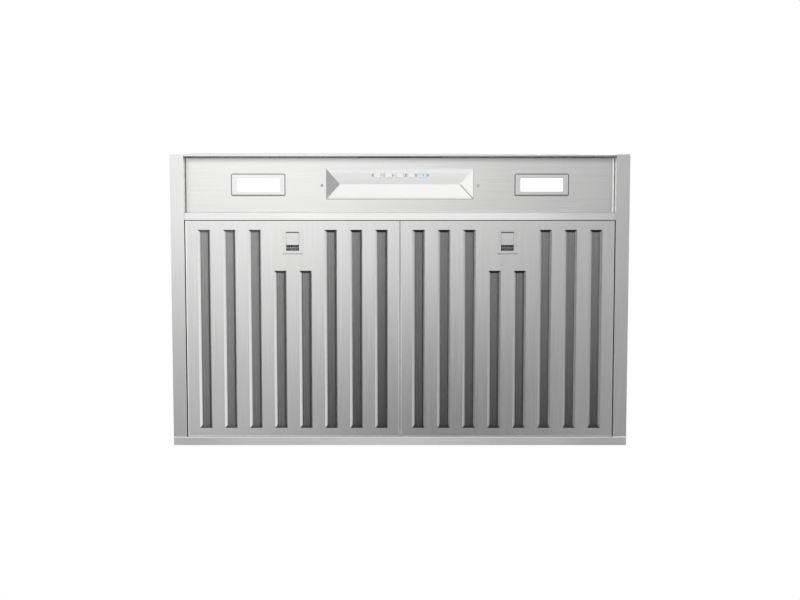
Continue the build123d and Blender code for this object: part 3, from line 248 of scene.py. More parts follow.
latchX = 0.16915  # how far each latch stands from the hood's middle
meshWeave = {"pitchX": 0.0022, "pitchY": 0.0030, "strand": (0.26, 0.56), "knot": (0.1, 0.45),
             "sootCells": 90.0, "holeTone": 0.10, "knotTone": 0.74, "sootyTone": 0.36, "cleanTone": 0.52,
             "metal": (0.9, 0.4), "rough": (0.34, 0.64)}
meshShade = {"front": -0.110, "length": 0.300, "inward": (-0.30, -0.02), "inwardMiddle": 0.38,
             "inwardRise": 1.1, "least": 0.2, "longEnd": (-0.1090, -0.1078),
             "shortStart": (-0.0492, -0.0486), "shortEnd": (-0.0444, -0.0432), "shortHalf": (0.036, 0.038),
             "endShares": (0.64, 0.99), "endGrowth": (-0.30, -0.05), "endTone": 0.01}


def expandedMesh(name, wearAndShade):
    # expanded foil: the lesser of two slanted waves is high in the holes and low on the strands;
    # holes carry painted shade for the deeper layers behind, strands carry painted highlights as bright
    # dots where they cross; painted shade darkens the whole evenly from the front to the rear, on the
    # left filter also towards the hood's middle, the more the further back, and sharply under the front
    # end of each slot
    def paint(graph):
        place = graph.place()
        across, along = graph.along(place)[:2]
        turnX, turnY = math.pi / meshWeave["pitchX"], math.pi / meshWeave["pitchY"]
        lean = (across * turnX + along * turnY).sine().size()
        counter = (across * turnX - along * turnY).sine().size()
        hole = graph.ease(lean.least(counter), *meshWeave["strand"])
        knot = graph.fade(lean.most(counter), *meshWeave["knot"])
        sootAndShade = graph.noise(place, meshWeave["sootCells"], detail=3.0, rough=0.6)
        strand = graph.tint(sootAndShade, grey(meshWeave["sootyTone"]), grey(meshWeave["cleanTone"]))
        colour = graph.tint(hole, strand, grey(meshWeave["holeTone"]))
        colour = graph.tint(knot, colour, grey(meshWeave["knotTone"]))
        fall = (wearAndShade["rear"] - wearAndShade["front"]) / meshShade["length"]
        level = (along - meshShade["front"]) * fall + wearAndShade["front"]
        inward = graph.ease(across, *meshShade["inward"]) * wearAndShade["inward"]
        inward = inward * (along * meshShade["inwardRise"] + meshShade["inwardMiddle"])
        colour = graph.scaled(colour, (level * (1.0 - inward)).most(meshShade["least"]))
        middle = graph.fade((across.size() - latchX).size(), *meshShade["shortHalf"])
        shortEnd = graph.ease(along, *meshShade["shortStart"]) * graph.fade(along, *meshShade["shortEnd"])
        end = graph.fade(along, *meshShade["longEnd"]).most(shortEnd * middle)
        share = graph.between(graph.ease(across, *meshShade["endGrowth"]), *meshShade["endShares"])
        return {"Base Color": graph.tint(end * share, colour, grey(meshShade["endTone"])),
                "Metallic": graph.between(hole, *meshWeave["metal"]),
                "Roughness": graph.between(hole, *meshWeave["rough"]),
                "Normal": graph.bump(1.0 - hole, strength=0.6, depth=0.0003)}
    return finishMaterial(name, paint)


lens = {"ribPitch": 0.0024, "frostCells": 900.0, "dull": 0.86, "pale": 0.93, "rough": (0.25, 0.45),
        "glow": 0.75, "dimGlow": (0.93, 0.95, 0.97, 1.0), "ribShare": 0.25, "frostShare": 0.2}


def diffusingLens(name):
    # frosted cover lit from behind: fine prism ribs across it, and a slightly uneven glow
    def paint(graph):
        place = graph.place()
        ribs = (graph.along(place)[0] * (2 * math.pi / lens["ribPitch"])).sine() * 0.5 + 0.5
        frost = graph.noise(place, lens["frostCells"])
        dim = ribs * lens["ribShare"] + frost * lens["frostShare"]
        return {"Base Color": graph.tint(frost, grey(lens["dull"]), grey(lens["pale"])),
                "Emission Color": graph.tint(dim, grey(1.0), lens["dimGlow"]),
                "Roughness": graph.between(frost, *lens["rough"]),
                "Normal": graph.bump(ribs, strength=0.3, depth=0.0002)}
    return finishMaterial(name, paint, **{"Emission Strength": lens["glow"]})


keyCap = {"grainCells": 2600.0, "wearCells": 160.0, "worn": 1.06, "rough": (0.24, 0.42), "glow": 0.06,
          "glowDim": 0.8}


def keyCapFinish(name, tone, lamp=None):
    # satin key: fine moulded grain, a little lighter in worn patches; lamp is the colour of a lit one
    def paint(graph):
        place = graph.place()
        grain = graph.noise(place, keyCap["grainCells"], detail=3.0, rough=0.6)
        wearAndShade = graph.noise(place, keyCap["wearCells"])
        found = {"Base Color": graph.tint(wearAndShade, tone, times(tone, keyCap["worn"])),
                 "Roughness": graph.between(grain, *keyCap["rough"]),
                 "Normal": graph.bump(grain, strength=0.12, depth=0.00004)}
        if lamp:
            found["Emission Color"] = graph.tint(wearAndShade, lamp, times(lamp, keyCap["glowDim"]))
        return found
    return finishMaterial(name, paint, **({"Emission Strength": keyCap["glow"]} if lamp else {}))


circuit = {"laneCells": 180.0, "stagger": 0.37, "gap": 0.06, "gapBlur": 0.2, "laneShare": 0.6,
           "padCells": 260.0, "pad": (0.12, 0.2), "padMetal": 0.9, "speckCells": 700.0, "rough": (0.25, 0.45),
           "mask": (0.02, 0.12, 0.05, 1.0), "lane": (0.05, 0.27, 0.12, 1.0),
           "solder": (0.72, 0.73, 0.70, 1.0)}


def circuitGreen(name):
    # solder mask with tracks: rows of cells whose joints are the copper lanes, and pads as bright dots
    def paint(graph):
        place = graph.place()
        lane = graph.node("ShaderNodeTexBrick", {"offset": circuit["stagger"]},
                          {"Vector": place, "Scale": circuit["laneCells"], "Mortar Size": circuit["gap"],
                           "Mortar Smooth": circuit["gapBlur"]}, "Fac")
        speck = graph.noise(place, circuit["speckCells"])
        solder = graph.fade(graph.cells(place, circuit["padCells"], "Distance"), *circuit["pad"])
        mask = graph.tint(lane * circuit["laneShare"], circuit["mask"], circuit["lane"])
        return {"Base Color": graph.tint(solder, mask, circuit["solder"]),
                "Metallic": solder * circuit["padMetal"],
                "Roughness": graph.between(speck, *circuit["rough"]),
                "Normal": graph.bump(lane + solder, strength=0.4, depth=0.0001)}
    return finishMaterial(name, paint)


moulded = {"grainCells": 1300.0, "rubCells": 50.0, "rub": (0.45, 0.75), "rubShare": 0.5, "rubLight": 2.4,
           "rough": (0.42, 0.62)}


def mouldedBlack(name, tone=0.035):
    # dark moulded housing: leathery spark-eroded grain and slightly greyer rubbed patches
    def paint(graph):
        place = graph.place()
        grain = graph.cells(place, moulded["grainCells"], "Distance")
        rub = graph.ease(graph.noise(place, moulded["rubCells"], detail=4.0, rough=0.6), *moulded["rub"])
        rubbed = grey(tone * moulded["rubLight"])
        return {"Base Color": graph.tint(rub * moulded["rubShare"], grey(tone), rubbed),
                "Roughness": graph.between(grain, *moulded["rough"]),
                "Normal": graph.bump(grain, strength=0.35, depth=0.00008)}
    return finishMaterial(name, paint)


screwTurning = {"turnedCells": 1900.0, "dullCells": 240.0, "dark": 0.56, "light": 0.78,
                "rough": (0.12, 0.28), "dullRough": 0.12}


def zincScrew(name, shade=1.0):
    # bright zinc: tiny turning marks, dulled in patches; shade darkens the whole
    def paint(graph):
        place = graph.place()
        turned = graph.noise(place, screwTurning["turnedCells"], detail=3.0, rough=0.6)
        dull = graph.noise(place, screwTurning["dullCells"])
        dark, light = (grey(screwTurning[key] * shade) for key in ("dark", "light"))
        return {"Base Color": graph.tint(dull, dark, light),
                "Roughness": graph.between(turned, *screwTurning["rough"]) + dull * screwTurning["dullRough"],
                "Normal": graph.bump(turned, strength=0.2, depth=0.00003)}
    return finishMaterial(name, paint, Metallic=1.0)


enamel = {"peelCells": 420.0, "dustCells": 35.0, "dust": (0.5, 0.8), "dustShare": 0.4, "clean": 0.045,
          "dusty": 0.16, "rough": (0.28, 0.53)}


def motorEnamel(name):
    # stoved dark enamel: orange peel and a few dusty, greyer patches
    def paint(graph):
        place = graph.place()
        peel = graph.noise(place, enamel["peelCells"], rough=0.4)
        dust = graph.ease(graph.noise(place, enamel["dustCells"], detail=4.0, rough=0.65), *enamel["dust"])
        clean, dusty = grey(enamel["clean"]), grey(enamel["dusty"])
        return {"Base Color": graph.tint(dust * enamel["dustShare"], clean, dusty),
                "Roughness": graph.between(dust, *enamel["rough"]),
                "Normal": graph.bump(peel, strength=0.25, depth=0.00015)}
    return finishMaterial(name, paint, **{"Coat Weight": 0.25})


# the lit key's painted glow on the pod: where the key stands, how far the glow reaches, how strong and what
# colour; the key's own mark is placed by it too
keyGlow = {"at": (0.036, -0.198), "reach": (0.004, 0.011), "share": 0.35, "tone": (0.70, 0.82, 0.86, 1.0)}
# painted highlight along the pod's front slope and painted shade towards its ridge
podSlope = {"facing": (-0.35, -0.2), "edge": (-0.2045, -0.1995), "edgeShare": 0.36,
            "ridge": (-0.2010, -0.1842), "ridgeShare": 0.12, "dullShare": 0.10, "dullTone": 0.30}
# painted shadow lines along the pod's rear and right rims and its right rear hip
podShadowLines = {"halfX": 0.11645, "middle": -0.1842, "halfY": 0.0243, "hip": 0.02245, "rim": (0.0017, 0.0005),
            "rimShare": 0.75, "seam": (0.0005, 0.0014), "seamStart": 0.001, "seamShare": 0.8, "tone": 0.25}


def podTones(graph, colour):
    # painted light and shade: the front slope carries a painted highlight along its edge and painted shade
    # towards the ridge; a thin painted shadow line follows the rear and right rims and the right rear hip,
    # by how far a point lies off each; the lit key's glow is painted on the pod round it: full inside one
    # radius, none outside another
    across, deep = graph.along()[:2]
    front = graph.fade(graph.facing()[1], *podSlope["facing"])
    inner, ridge = graph.ease(deep, *podSlope["edge"]), graph.ease(deep, *podSlope["ridge"])
    light = (1.0 - inner) * podSlope["edgeShare"] + (1.0 - ridge) * podSlope["ridgeShare"]
    colour = graph.tint(front * light, colour, grey(1.0))
    colour = graph.tint(front * ridge * podSlope["dullShare"], colour, grey(podSlope["dullTone"]))
    halfX, halfY, middle, hip = (podShadowLines[key] for key in ("halfX", "halfY", "middle", "hip"))
    rim = graph.rim(across, halfX, podShadowLines["rim"]).most(graph.rim(deep, middle + halfY, podShadowLines["rim"]))
    length = math.hypot(hip, halfY)
    off = (across - (halfX - hip)) * (halfY / length) - (deep - middle) * (hip / length)
    rearward = graph.ease(deep, middle, middle + podShadowLines["seamStart"])
    seam = graph.fade(off.size(), *podShadowLines["seam"]) * rearward
    lines = (rim * podShadowLines["rimShare"]).most(seam * podShadowLines["seamShare"])
    colour = graph.tint(lines, colour, grey(podShadowLines["tone"]))
    reach = ((across - keyGlow["at"][0]) ** 2.0 + (deep - keyGlow["at"][1]) ** 2.0) ** 0.5
    return graph.tint(graph.fade(reach, *keyGlow["reach"]) * keyGlow["share"], colour, keyGlow["tone"])


# where painted highlight (the ends) and painted shade (the front) fall on the strip, and where its bends
# shade as if flat
stripEdges = {"ends": (0.3340, 0.3355), "endShare": 0.9, "front": (-0.2265, -0.2150), "frontShare": 0.62,
              "frontTone": 0.16, "flatEnds": (0.3318, 0.3330), "flatFront": (-0.2204, -0.2192),
              "downward": (0.0, 0.05), "flatShare": 0.9}


def stripTones(graph, colour):
    # painted shade darkens the strip's bent front edge over its last ten millimetres, and a painted highlight
    # keeps its bent ends bright
    across, deep = graph.along()[:2]
    ends = graph.ease(across.size(), *stripEdges["ends"])
    colour = graph.tint(ends * stripEdges["endShare"], colour, grey(1.0))
    bright = graph.between(graph.ease(deep, *stripEdges["front"]), 1.0 - stripEdges["frontShare"], 1.0)
    return graph.tint(bright, grey(stripEdges["frontTone"]), colour)


def flattenedBends(graph):
    # over its bent edges the strip shades almost as if it were flat: the face's own direction
    # mixed with straight down, the more the nearer the edge
    across, deep = graph.along()[:2]
    ends = graph.ease(across.size(), *stripEdges["flatEnds"])
    fold = graph.fade(deep, *stripEdges["flatFront"]).most(ends)
    under = graph.fade(graph.facing()[2], *stripEdges["downward"])
    own = graph.node("ShaderNodeNewGeometry", {}, {}, "Normal")
    mixed = graph.node("ShaderNodeMix", {"data_type": "VECTOR"},
                       {0: fold * under * stripEdges["flatShare"], 4: own, 5: (0.0, 0.0, -1.0)}, 1)
    return graph.node("ShaderNodeVectorMath", {"operation": "NORMALIZE"}, {0: mixed})


faceLow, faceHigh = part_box("filter_face_left")
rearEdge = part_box("rail_rear")[0].y
# painted light and shade on the filters' faces: which way a wall faces, the painted shade over the walls'
# feet, and the rims that carry painted highlights
filterRims = {"facingLeft": (-0.6, -0.3), "facingRight": (0.3, 0.6), "climbFrom": 0.30, "footShadeShare": 0.85,
              "footShadeTone": 0.04, "rim": (0.0022, 0.0008), "seam": (0.0014, 0.0026),
              "seamGrowth": (-0.08, 0.10), "rimShare": 0.9}


def filterTones(turned, bright, foot, climb, shine, sideShare):
    # painted light and shade: the slots' walls that face left carry painted shade over the foot, from one
    # height to another, which climbs towards the hood's middle, and nearer the face a painted tone set by
    # turned and bright, painted shade on the left filter and a painted highlight on the right; the walls
    # that face right carry a painted highlight; the face's rims beside the seam, the rear and the side
    # carry painted highlights
    def over(graph, colour):
        across, deep, high = graph.along()
        facing = graph.facing()[0]
        colour = graph.tint(graph.ease(facing, *filterRims["facingRight"]) * shine, colour, grey(1.0))
        wall = graph.fade(facing, *filterRims["facingLeft"])
        footShade = graph.ease((filterRims["climbFrom"] - across) * climb + high, *foot)
        colour = graph.tint(wall * (1.0 - footShade) * turned, colour, grey(bright))
        colour = graph.tint(wall * footShade * filterRims["footShadeShare"], colour, grey(filterRims["footShadeTone"]))
        reach = across.size()
        start, stop = (width - faceHigh.x for width in filterRims["seam"])
        seam = graph.fade(reach, start, stop) * graph.ease(deep, *filterRims["seamGrowth"])
        rear = graph.rim(deep, faceHigh.y, filterRims["rim"])
        side = graph.rim(reach, -faceLow.x, filterRims["rim"]) * sideShare
        return graph.tint(seam.most(rear).most(side) * filterRims["rimShare"], colour, grey(1.0))
    return over


# painted highlight and painted shade on the rear rail
rearRail = {"edge": (0.0008, 0.0020), "edgeShare": 0.9, "middle": (0.02, 0.20), "middleShare": 0.33,
            "ends": (0.22, 0.33), "endShare": 0.28, "endTone": 0.32}


def rearRailTones(graph, colour):
    # painted highlight in the rear rail's middle and along its front edge, and painted shade at its ends
    across, deep = graph.along()[:2]
    start, stop = (rearEdge + width for width in rearRail["edge"])
    edge = graph.fade(deep, start, stop) * rearRail["edgeShare"]
    middle = graph.fade(across.size(), *rearRail["middle"]) * rearRail["middleShare"]
    ends = graph.ease(across.size(), *rearRail["ends"]) * rearRail["endShare"]
    return graph.tint(edge.most(middle), graph.tint(ends, colour, grey(rearRail["endTone"])), grey(1.0))


# painted shade on the left rail
leftRail = {"across": (-0.30, -0.29), "along": (-0.15, 0.16), "share": 0.28, "tone": 0.35}


def sideRailTones(graph, colour):
    # painted shade darkens the left rail towards the rear
    across, deep = graph.along()[:2]
    dull = graph.fade(across, *leftRail["across"]) * graph.ease(deep, *leftRail["along"])
    return graph.tint(dull * leftRail["share"], colour, grey(leftRail["tone"]))


# painted highlight and painted shade on the ledge
ledge = {"rise": (-0.09, 0.16), "fall": (0.20, 0.30), "brightShare": 0.62, "left": (-0.21, -0.15),
         "dullShare": 0.21, "dullTone": 0.55}


def ledgeTones(graph, colour):
    # painted shade darkens the ledge a little at its left, and a painted highlight is brightest from its
    # middle to the right lamp
    across = graph.along()[0]
    bright = graph.ease(across, *ledge["rise"]) * graph.fade(across, *ledge["fall"])
    colour = graph.tint(bright * ledge["brightShare"], colour, grey(1.0))
    left = graph.fade(across, *ledge["left"])
    return graph.tint(left * ledge["dullShare"], colour, grey(ledge["dullTone"]))


# painted shade round the bezel and over its lip
bezelRim = {"across": 0.2235, "deep": -0.1828, "halfX": 0.0421, "halfY": 0.0169, "behind": 0.0010,
            "line": (-0.0010, -0.0004), "lineShare": 0.7, "lip": (0.0150, 0.0156), "tone": 0.10}


def bezelTones(graph, colour):
    # painted shade: a dark outline round the bezel, wider behind, and over the lip above it, where shade
    # falls in the gap; the outline goes by how far a point lies outside the bezel's rectangle, whichever way
    # is the most
    across, deep, high = graph.along()
    back = deep - bezelRim["deep"]
    beside = (across.size() - bezelRim["across"]).size() - bezelRim["halfX"]
    out = beside.most((back + bezelRim["behind"]).most(back * -1.0) - bezelRim["halfY"])
    line = graph.ease(out, *bezelRim["line"]) * bezelRim["lineShare"]
    return graph.tint(line.most(graph.ease(high, *bezelRim["lip"])), colour, grey(bezelRim["tone"]))


# painted shadow lines and painted shade on the latch plate and the slider
latchLines = {"rear": (-0.0762, -0.0750), "rearShare": 0.6, "rearTone": 0.20, "cup": (0.0023, 0.0034),
              "recess": (0.0020, 0.0030), "front": (-0.1082, -0.1072), "frontShare": 0.8,
              "rim": (-0.0868, -0.0862), "rimShare": 0.3, "sootAndShade": 0.01}


def latchPlateTones(graph, colour):
    # a painted shadow line along the plate's rear edge, and painted shade inside the cup
    deep, high = graph.along()[1:]
    line = graph.ease(deep, *latchLines["rear"]) * latchLines["rearShare"]
    colour = graph.tint(line, colour, grey(latchLines["rearTone"]))
    return graph.tint(graph.ease(high, *latchLines["cup"]), colour, grey(latchLines["sootAndShade"]))


def sliderTones(graph, colour):
    # painted shade inside its finger recess and on the rim behind it, and a painted shadow line along its
    # front edge
    deep, high = graph.along()[1:]
    recess = graph.ease(high, *latchLines["recess"])
    edge = graph.fade(deep, *latchLines["front"]) * latchLines["frontShare"]
    rim = graph.ease(deep, *latchLines["rim"]) * latchLines["rimShare"]
    return graph.tint(recess.most(edge).most(rim), colour, grey(latchLines["sootAndShade"]))


# how much painted light and shade the slots' walls and the foil behind them carry on each filter
leftFilter = {"turned": 0.1, "bright": 0.05, "foot": (0.0036, 0.0047), "climb": 0.0,
              "shine": 0.5, "sideShare": 0.9}
rightFilter = {"turned": 0.7, "bright": 1.0, "foot": (0.0057, 0.0063), "climb": 0.004,
               "shine": 0.1, "sideShare": 0.2}
# painted shade on each filter's foil: its level at the front and at the rear, and how much more it darkens
# towards the hood's middle
foilShade = {"left": {"front": 1.50, "rear": 0.79, "inward": 1.0},
            "right": {"front": 0.94, "rear": 0.32, "inward": 0.0}}

# lift gives lighter or darker copies of the one brushed steel; on the ledge, the rear rail and the pod it is
# painted light, and over(graph, colour) adds each part's painted light and shade
sideRailSteel = brushedSteel("sideRailSteel", "y", over=sideRailTones)
stripSteel = brushedSteel("controlStripSteel", "x", over=stripTones, leaning=flattenedBends)
ledgeSteel = brushedSteel("ledgeSteel", "x", lift=0.09, over=ledgeTones)
rearRailSteel = brushedSteel("rearRailSteel", "x", lift=0.02, rough=0.40, over=rearRailTones)
bezelSteel = brushedSteel("bezelSteel", "x", lift=0.01, over=bezelTones)
canopySteel = brushedSteel("canopySteel", "x", lift=-0.04)
leftFilterSteel = brushedSteel("leftFilterSteel", "y", over=filterTones(**leftFilter))
rightFilterSteel = brushedSteel("rightFilterSteel", "y", over=filterTones(**rightFilter))
podSteel = brushedSteel("podSteel", "x", lift=0.08, over=podTones)
latchSteel = brushedSteel("latchSteel", "x", lift=-0.02, over=latchPlateTones)
sliderSteel = brushedSteel("sliderSteel", "x", lift=-0.02, over=sliderTones)
springSteel = brushedSteel("springSteel", "y", lift=-0.60, rough=0.30)
zincSheet = galvanisedSheet("spangledZinc")
grilleAluminium = millAluminium("grilleAluminium", "y")
flapAluminium = millAluminium("flapAluminium", "x", rough=0.42)
lampAluminium = millAluminium("lampAluminium", "x", rough=0.3)
foilMeshes = {side: expandedMesh(side + "FoilMesh", wearAndShade) for side, wearAndShade in foilShade.items()}
lensFrost = diffusingLens("frostedLens")
keySilver = keyCapFinish("silverKeys", (0.95, 0.96, 0.96, 1.0))
keyBlue = keyCapFinish("litKey", (0.74, 0.83, 0.86, 1.0), lamp=(0.55, 0.85, 1.0, 1.0))
boardGreen = circuitGreen("boardGreen")
housingBlack = mouldedBlack("housingBlack")
bandBlack = mouldedBlack("clampBlack", tone=0.05)
screwZinc = zincScrew("screwZinc")
# the pod's screws are the same zinc, darkened by painted shade
podScrewZinc = zincScrew("podScrewZinc", shade=0.75)
motorBlack = motorEnamel("motorEnamel")
iconInk = mouldedBlack("iconInk", tone=0.03)

# each finish, and the nodes that wear it
nodeFinishes = {
    sideRailSteel: ["rail_left", "rail_right"],
    stripSteel: ["control_strip"],
    ledgeSteel: ["front_ledge"],
    rearRailSteel: ["rail_rear"],
    bezelSteel: ["light_bezel_left", "light_bezel_right"],
    canopySteel: ["canopy_shell", "filter_hooks"],
    leftFilterSteel: ["filter_face_left"],
    rightFilterSteel: ["filter_face_right"],
    podSteel: ["control_pod"],
    latchSteel: ["latch_cup_left", "latch_cup_right"],
    springSteel: ["latch_spring_left", "latch_spring_right"],
    sliderSteel: ["latch_slider_left", "latch_slider_right"],
    zincSheet: ["blower_box", "blower_wheel", "wheel_rings", "wheel_disc", "control_clamp", "duct_collar",
                "hang_bracket_left", "hang_bracket_right", "junction_box", "junction_cover", "motor_bracket",
                "scroll_side_left", "scroll_side_right", "scroll_wrap"],
    grilleAluminium: ["filter_back_left", "filter_back_right"],
    flapAluminium: ["damper_flap_front", "damper_flap_rear"],
    lampAluminium: ["led_module_left", "led_module_right", "capacitor"],
    foilMeshes["left"]: ["filter_mesh_left"],
    foilMeshes["right"]: ["filter_mesh_right"],
    lensFrost: ["light_lens_left", "light_lens_right"],
    keySilver: ["key_1", "key_2", "key_3", "key_4"],
    keyBlue: ["key_5"],
    boardGreen: ["control_board"],
    housingBlack: ["power_module", "terminal_block"],
    bandBlack: ["capacitor_clamp"],
    screwZinc: ["damper_shaft", "filter_pins_left", "filter_pins_right", "motor_bolts", "pan_screws",
                "pod_screws", "rotor_shaft"],
    motorBlack: ["motor_body"],
}
for finish, names in nodeFinishes.items():
    for name in names:
        for slot in hoodNodes[name].material_slots:
            slot.link = "OBJECT"
            slot.material = finish
bare = set(hoodNodes) - {name for names in nodeFinishes.values() for name in names}
print("finishes on the hood's nodes, without one:", sorted(bare))


def skinRings(name, rings, body, finish, smooth=False):
    # a closed skin over rings of equal count: quads between neighbours, one flat face over each end,
    # turned inside out if its signed volume comes out below zero
    count, around = rings.shape[:2]
    points = rings.reshape(-1, 3)
    base = np.arange(count - 1)[:, None] * around
    step = np.arange(around)[None, :]
    after = (step + 1) % around
    quads = np.stack([base + step, base + after, base + around + after, base + around + step], -1)
    quads = quads.reshape(-1, 4)
    ends = [np.arange(around)[::-1], np.arange(around) + (count - 1) * around]
    corners = points[quads]
    volume = (np.einsum("ij,ij->i", corners[:, 0], np.cross(corners[:, 1], corners[:, 2])).sum()
              + np.einsum("ij,ij->i", corners[:, 0], np.cross(corners[:, 2], corners[:, 3])).sum())
    for end in ends:
        rim = points[end]
        volume += np.cross(rim[1:-1], rim[2:]).dot(rim[0]).sum()
    faces = quads.tolist() + [end.tolist() for end in ends]
    if volume < 0:
        faces = [face[::-1] for face in faces]
    mesh = bpy.data.meshes.new(name)
    mesh.from_pydata(points.tolist(), [], faces)
    mesh.polygons.foreach_set("use_smooth", np.full(len(faces), smooth))
    mesh.materials.append(finish)
    piece = bpy.data.objects.new(name, mesh)
    bpy.context.scene.collection.objects.link(piece)
    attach(piece, body)
    return piece


def joinPieces(name, pieces):
    # several small closed skins as one mesh
    with bpy.context.temp_override(active_object=pieces[0], selected_editable_objects=pieces,
                                   selected_objects=pieces):
        bpy.ops.object.join()
    pieces[0].name = name
    return pieces[0]


meshPad = {"pleatPitch": 0.0041, "pleatDepth": 0.0011, "perPleat": 5, "crimpPitch": 0.017,
           "crimpDepth": 0.0003, "stations": 76}


def pleatedPad(side, body):
    # section across the pad: a cosine pleat along the underside and back along the top,
    # carried front to back while a slower cosine crimps its height
    low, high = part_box("filter_mesh_" + side)
    pleats = round((high.x - low.x) / meshPad["pleatPitch"])
    across = np.linspace(low.x, high.x, pleats * meshPad["perPleat"] + 1)
    wave = 0.5 - 0.5 * np.cos((across - low.x) / (high.x - low.x) * pleats * 2 * np.pi)
    along = np.linspace(low.y, high.y, meshPad["stations"])
    crimp = (0.5 - 0.5 * np.cos((along - low.y) / meshPad["crimpPitch"] * 2 * np.pi)) * meshPad["crimpDepth"]
    depth = wave[None, :] * meshPad["pleatDepth"] + crimp[:, None]
    x = np.broadcast_to(across, depth.shape)
    y = np.broadcast_to(along[:, None], depth.shape)
    under = np.stack([x, y, low.z + depth], -1)
    over = np.stack([x, y, high.z - depth], -1)
    rings = np.concatenate([under, over[:, ::-1]], axis=1)
    pad = skinRings("pleatedMesh_" + side, rings, body, foilMeshes[side], smooth=True)
    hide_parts("filter_mesh_" + side)
    return pad


for side in ("left", "right"):
    pleatedPad(side, "filter_" + side)
print("mesh pads pleated")


latchSpring = {"z": 0.0113, "coil": 0.0017, "wire": 0.0003, "turns": 7, "closed": 0.00063,
               "closedTurns": 0.75, "easing": 0.5, "seat": 0.00002, "travel": 0.00405, "perTurn": 28,
               "around": 10}


def smoothStep(share):
    # 0 to 1 with level ends: three squares less two cubes
    return 3 * share ** 2 - 2 * share ** 3


def coilSpring(side, sign):
    # a round wire on a helix: closed turns at both ends and an even pitch between, found by adding up
    # a pitch that eases from the one to the other; the helix's own axes carry the wire's circle
    low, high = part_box("latch_spring_" + side)
    x, z, wire, count = sign * latchX, latchSpring["z"], latchSpring["wire"], latchSpring["turns"]
    turns = np.linspace(0, count, count * latchSpring["perTurn"] + 1)
    rise = np.clip((turns - latchSpring["closedTurns"]) / latchSpring["easing"], 0, 1)
    fall = np.clip((count - latchSpring["closedTurns"] - turns) / latchSpring["easing"], 0, 1)
    pitch = smoothStep(rise) * smoothStep(fall)
    run = np.concatenate([[0], np.cumsum((pitch[1:] + pitch[:-1]) / 2 * np.diff(turns))])
    first, last = low.y + wire + latchSpring["seat"], high.y - wire - latchSpring["seat"]
    spare = last - first - latchSpring["closed"] * count
    along = first + latchSpring["closed"] * turns + spare * run / run[-1]
    turn = turns * 2 * np.pi
    outward = np.stack([np.cos(turn), np.zeros_like(turn), np.sin(turn)], -1)
    axis = np.stack([np.full_like(turn, x), along, np.full_like(turn, z)], -1)
    centre = axis + latchSpring["coil"] * outward
    heading = np.gradient(centre, axis=0)
    heading /= np.linalg.norm(heading, axis=1, keepdims=True)
    beside = np.cross(heading, outward)
    lap = np.arange(latchSpring["around"]) * 2 * np.pi / latchSpring["around"]
    circle = np.cos(lap)[None, :, None] * outward[:, None] + np.sin(lap)[None, :, None] * beside[:, None]
    rings = centre[:, None] + wire * circle
    spring = skinRings("latchCoil_" + side, rings, "filter_" + side, springSteel, smooth=True)
    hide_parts("latch_spring_" + side)
    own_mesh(spring)
    return spring


for side, sign in (("left", -1), ("right", 1)):
    coilSpring(side, sign)
print("latch springs wound")


podScrew = {"x": 0.123, "y": -0.182, "headRadius": 0.00234, "shankRadius": 0.0014, "face": 0.014,
            "seat": 0.015, "tip": 0.022, "tipTaper": 0.0006, "tipShare": 0.6, "domeShare": 0.85,
            "slotHalf": 0.00032, "slotReach": 0.0013, "slotDepth": 0.0006, "around": 48,
            "rings": (0.04, 0.1, 0.16, 0.24, 0.34, 0.44, 0.52, 0.58, 0.66, 0.78, 0.9, 0.97, 1.0)}


def crossScrew(x):
    # a head turned about its own axis, falling away with the fourth power of the radius; the recess
    # pushes its face in where a point lies inside either bar of a cross
    turn = np.arange(podScrew["around"]) * 2 * np.pi / podScrew["around"]
    reach = np.array(podScrew["rings"])
    radius = reach * podScrew["headRadius"]
    dome = (podScrew["seat"] - podScrew["face"]) * (podScrew["domeShare"] * reach ** 4)
    px, py = radius[:, None] * np.cos(turn), radius[:, None] * np.sin(turn)
    thin, far = podScrew["slotHalf"], podScrew["slotReach"]
    bar = ((np.abs(px) < thin) & (np.abs(py) < far)) | ((np.abs(py) < thin) & (np.abs(px) < far))
    height = podScrew["face"] + dome[:, None] + bar * podScrew["slotDepth"]
    head = np.stack([px + x, py + podScrew["y"], height], -1)
    shank, tip = podScrew["shankRadius"], podScrew["tip"]
    outline = ((podScrew["headRadius"], podScrew["seat"]), (shank, podScrew["seat"]),
               (shank, tip - podScrew["tipTaper"]), (shank * podScrew["tipShare"], tip))
    stem = [np.stack([np.cos(turn) * r + x, np.sin(turn) * r + podScrew["y"], np.full_like(turn, z)], -1)
            for r, z in outline]
    return skinRings("podScrewPart", np.concatenate([head, np.stack(stem)]), "hood", podScrewZinc)


screwPair = joinPieces("podScrewHeads", [crossScrew(-podScrew["x"]), crossScrew(podScrew["x"])])
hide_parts("pod_screws")
print("pod screws turned")


# the pod's front slope: a point on it, the way up it and the way out of it
podFace = {"origin": (0.0, -0.198, 0.00981), "up": (0.0, -0.8966, 0.4428), "out": (0.0, -0.4428, -0.8966)}
# size is half a mark's width and height, keyFace how far the lit key stands out of the slope, and
# places are how far the marks stand from the pod's middle
iconInks = {"stroke": 0.0007, "sunk": 0.00003, "proud": 0.00006, "size": (0.0014, 0.0023), "keyFace": 0.0008,
            "places": (-0.0428, -0.0290, -0.0109, 0.0092, 0.0256, -0.0253, 0.0440)}


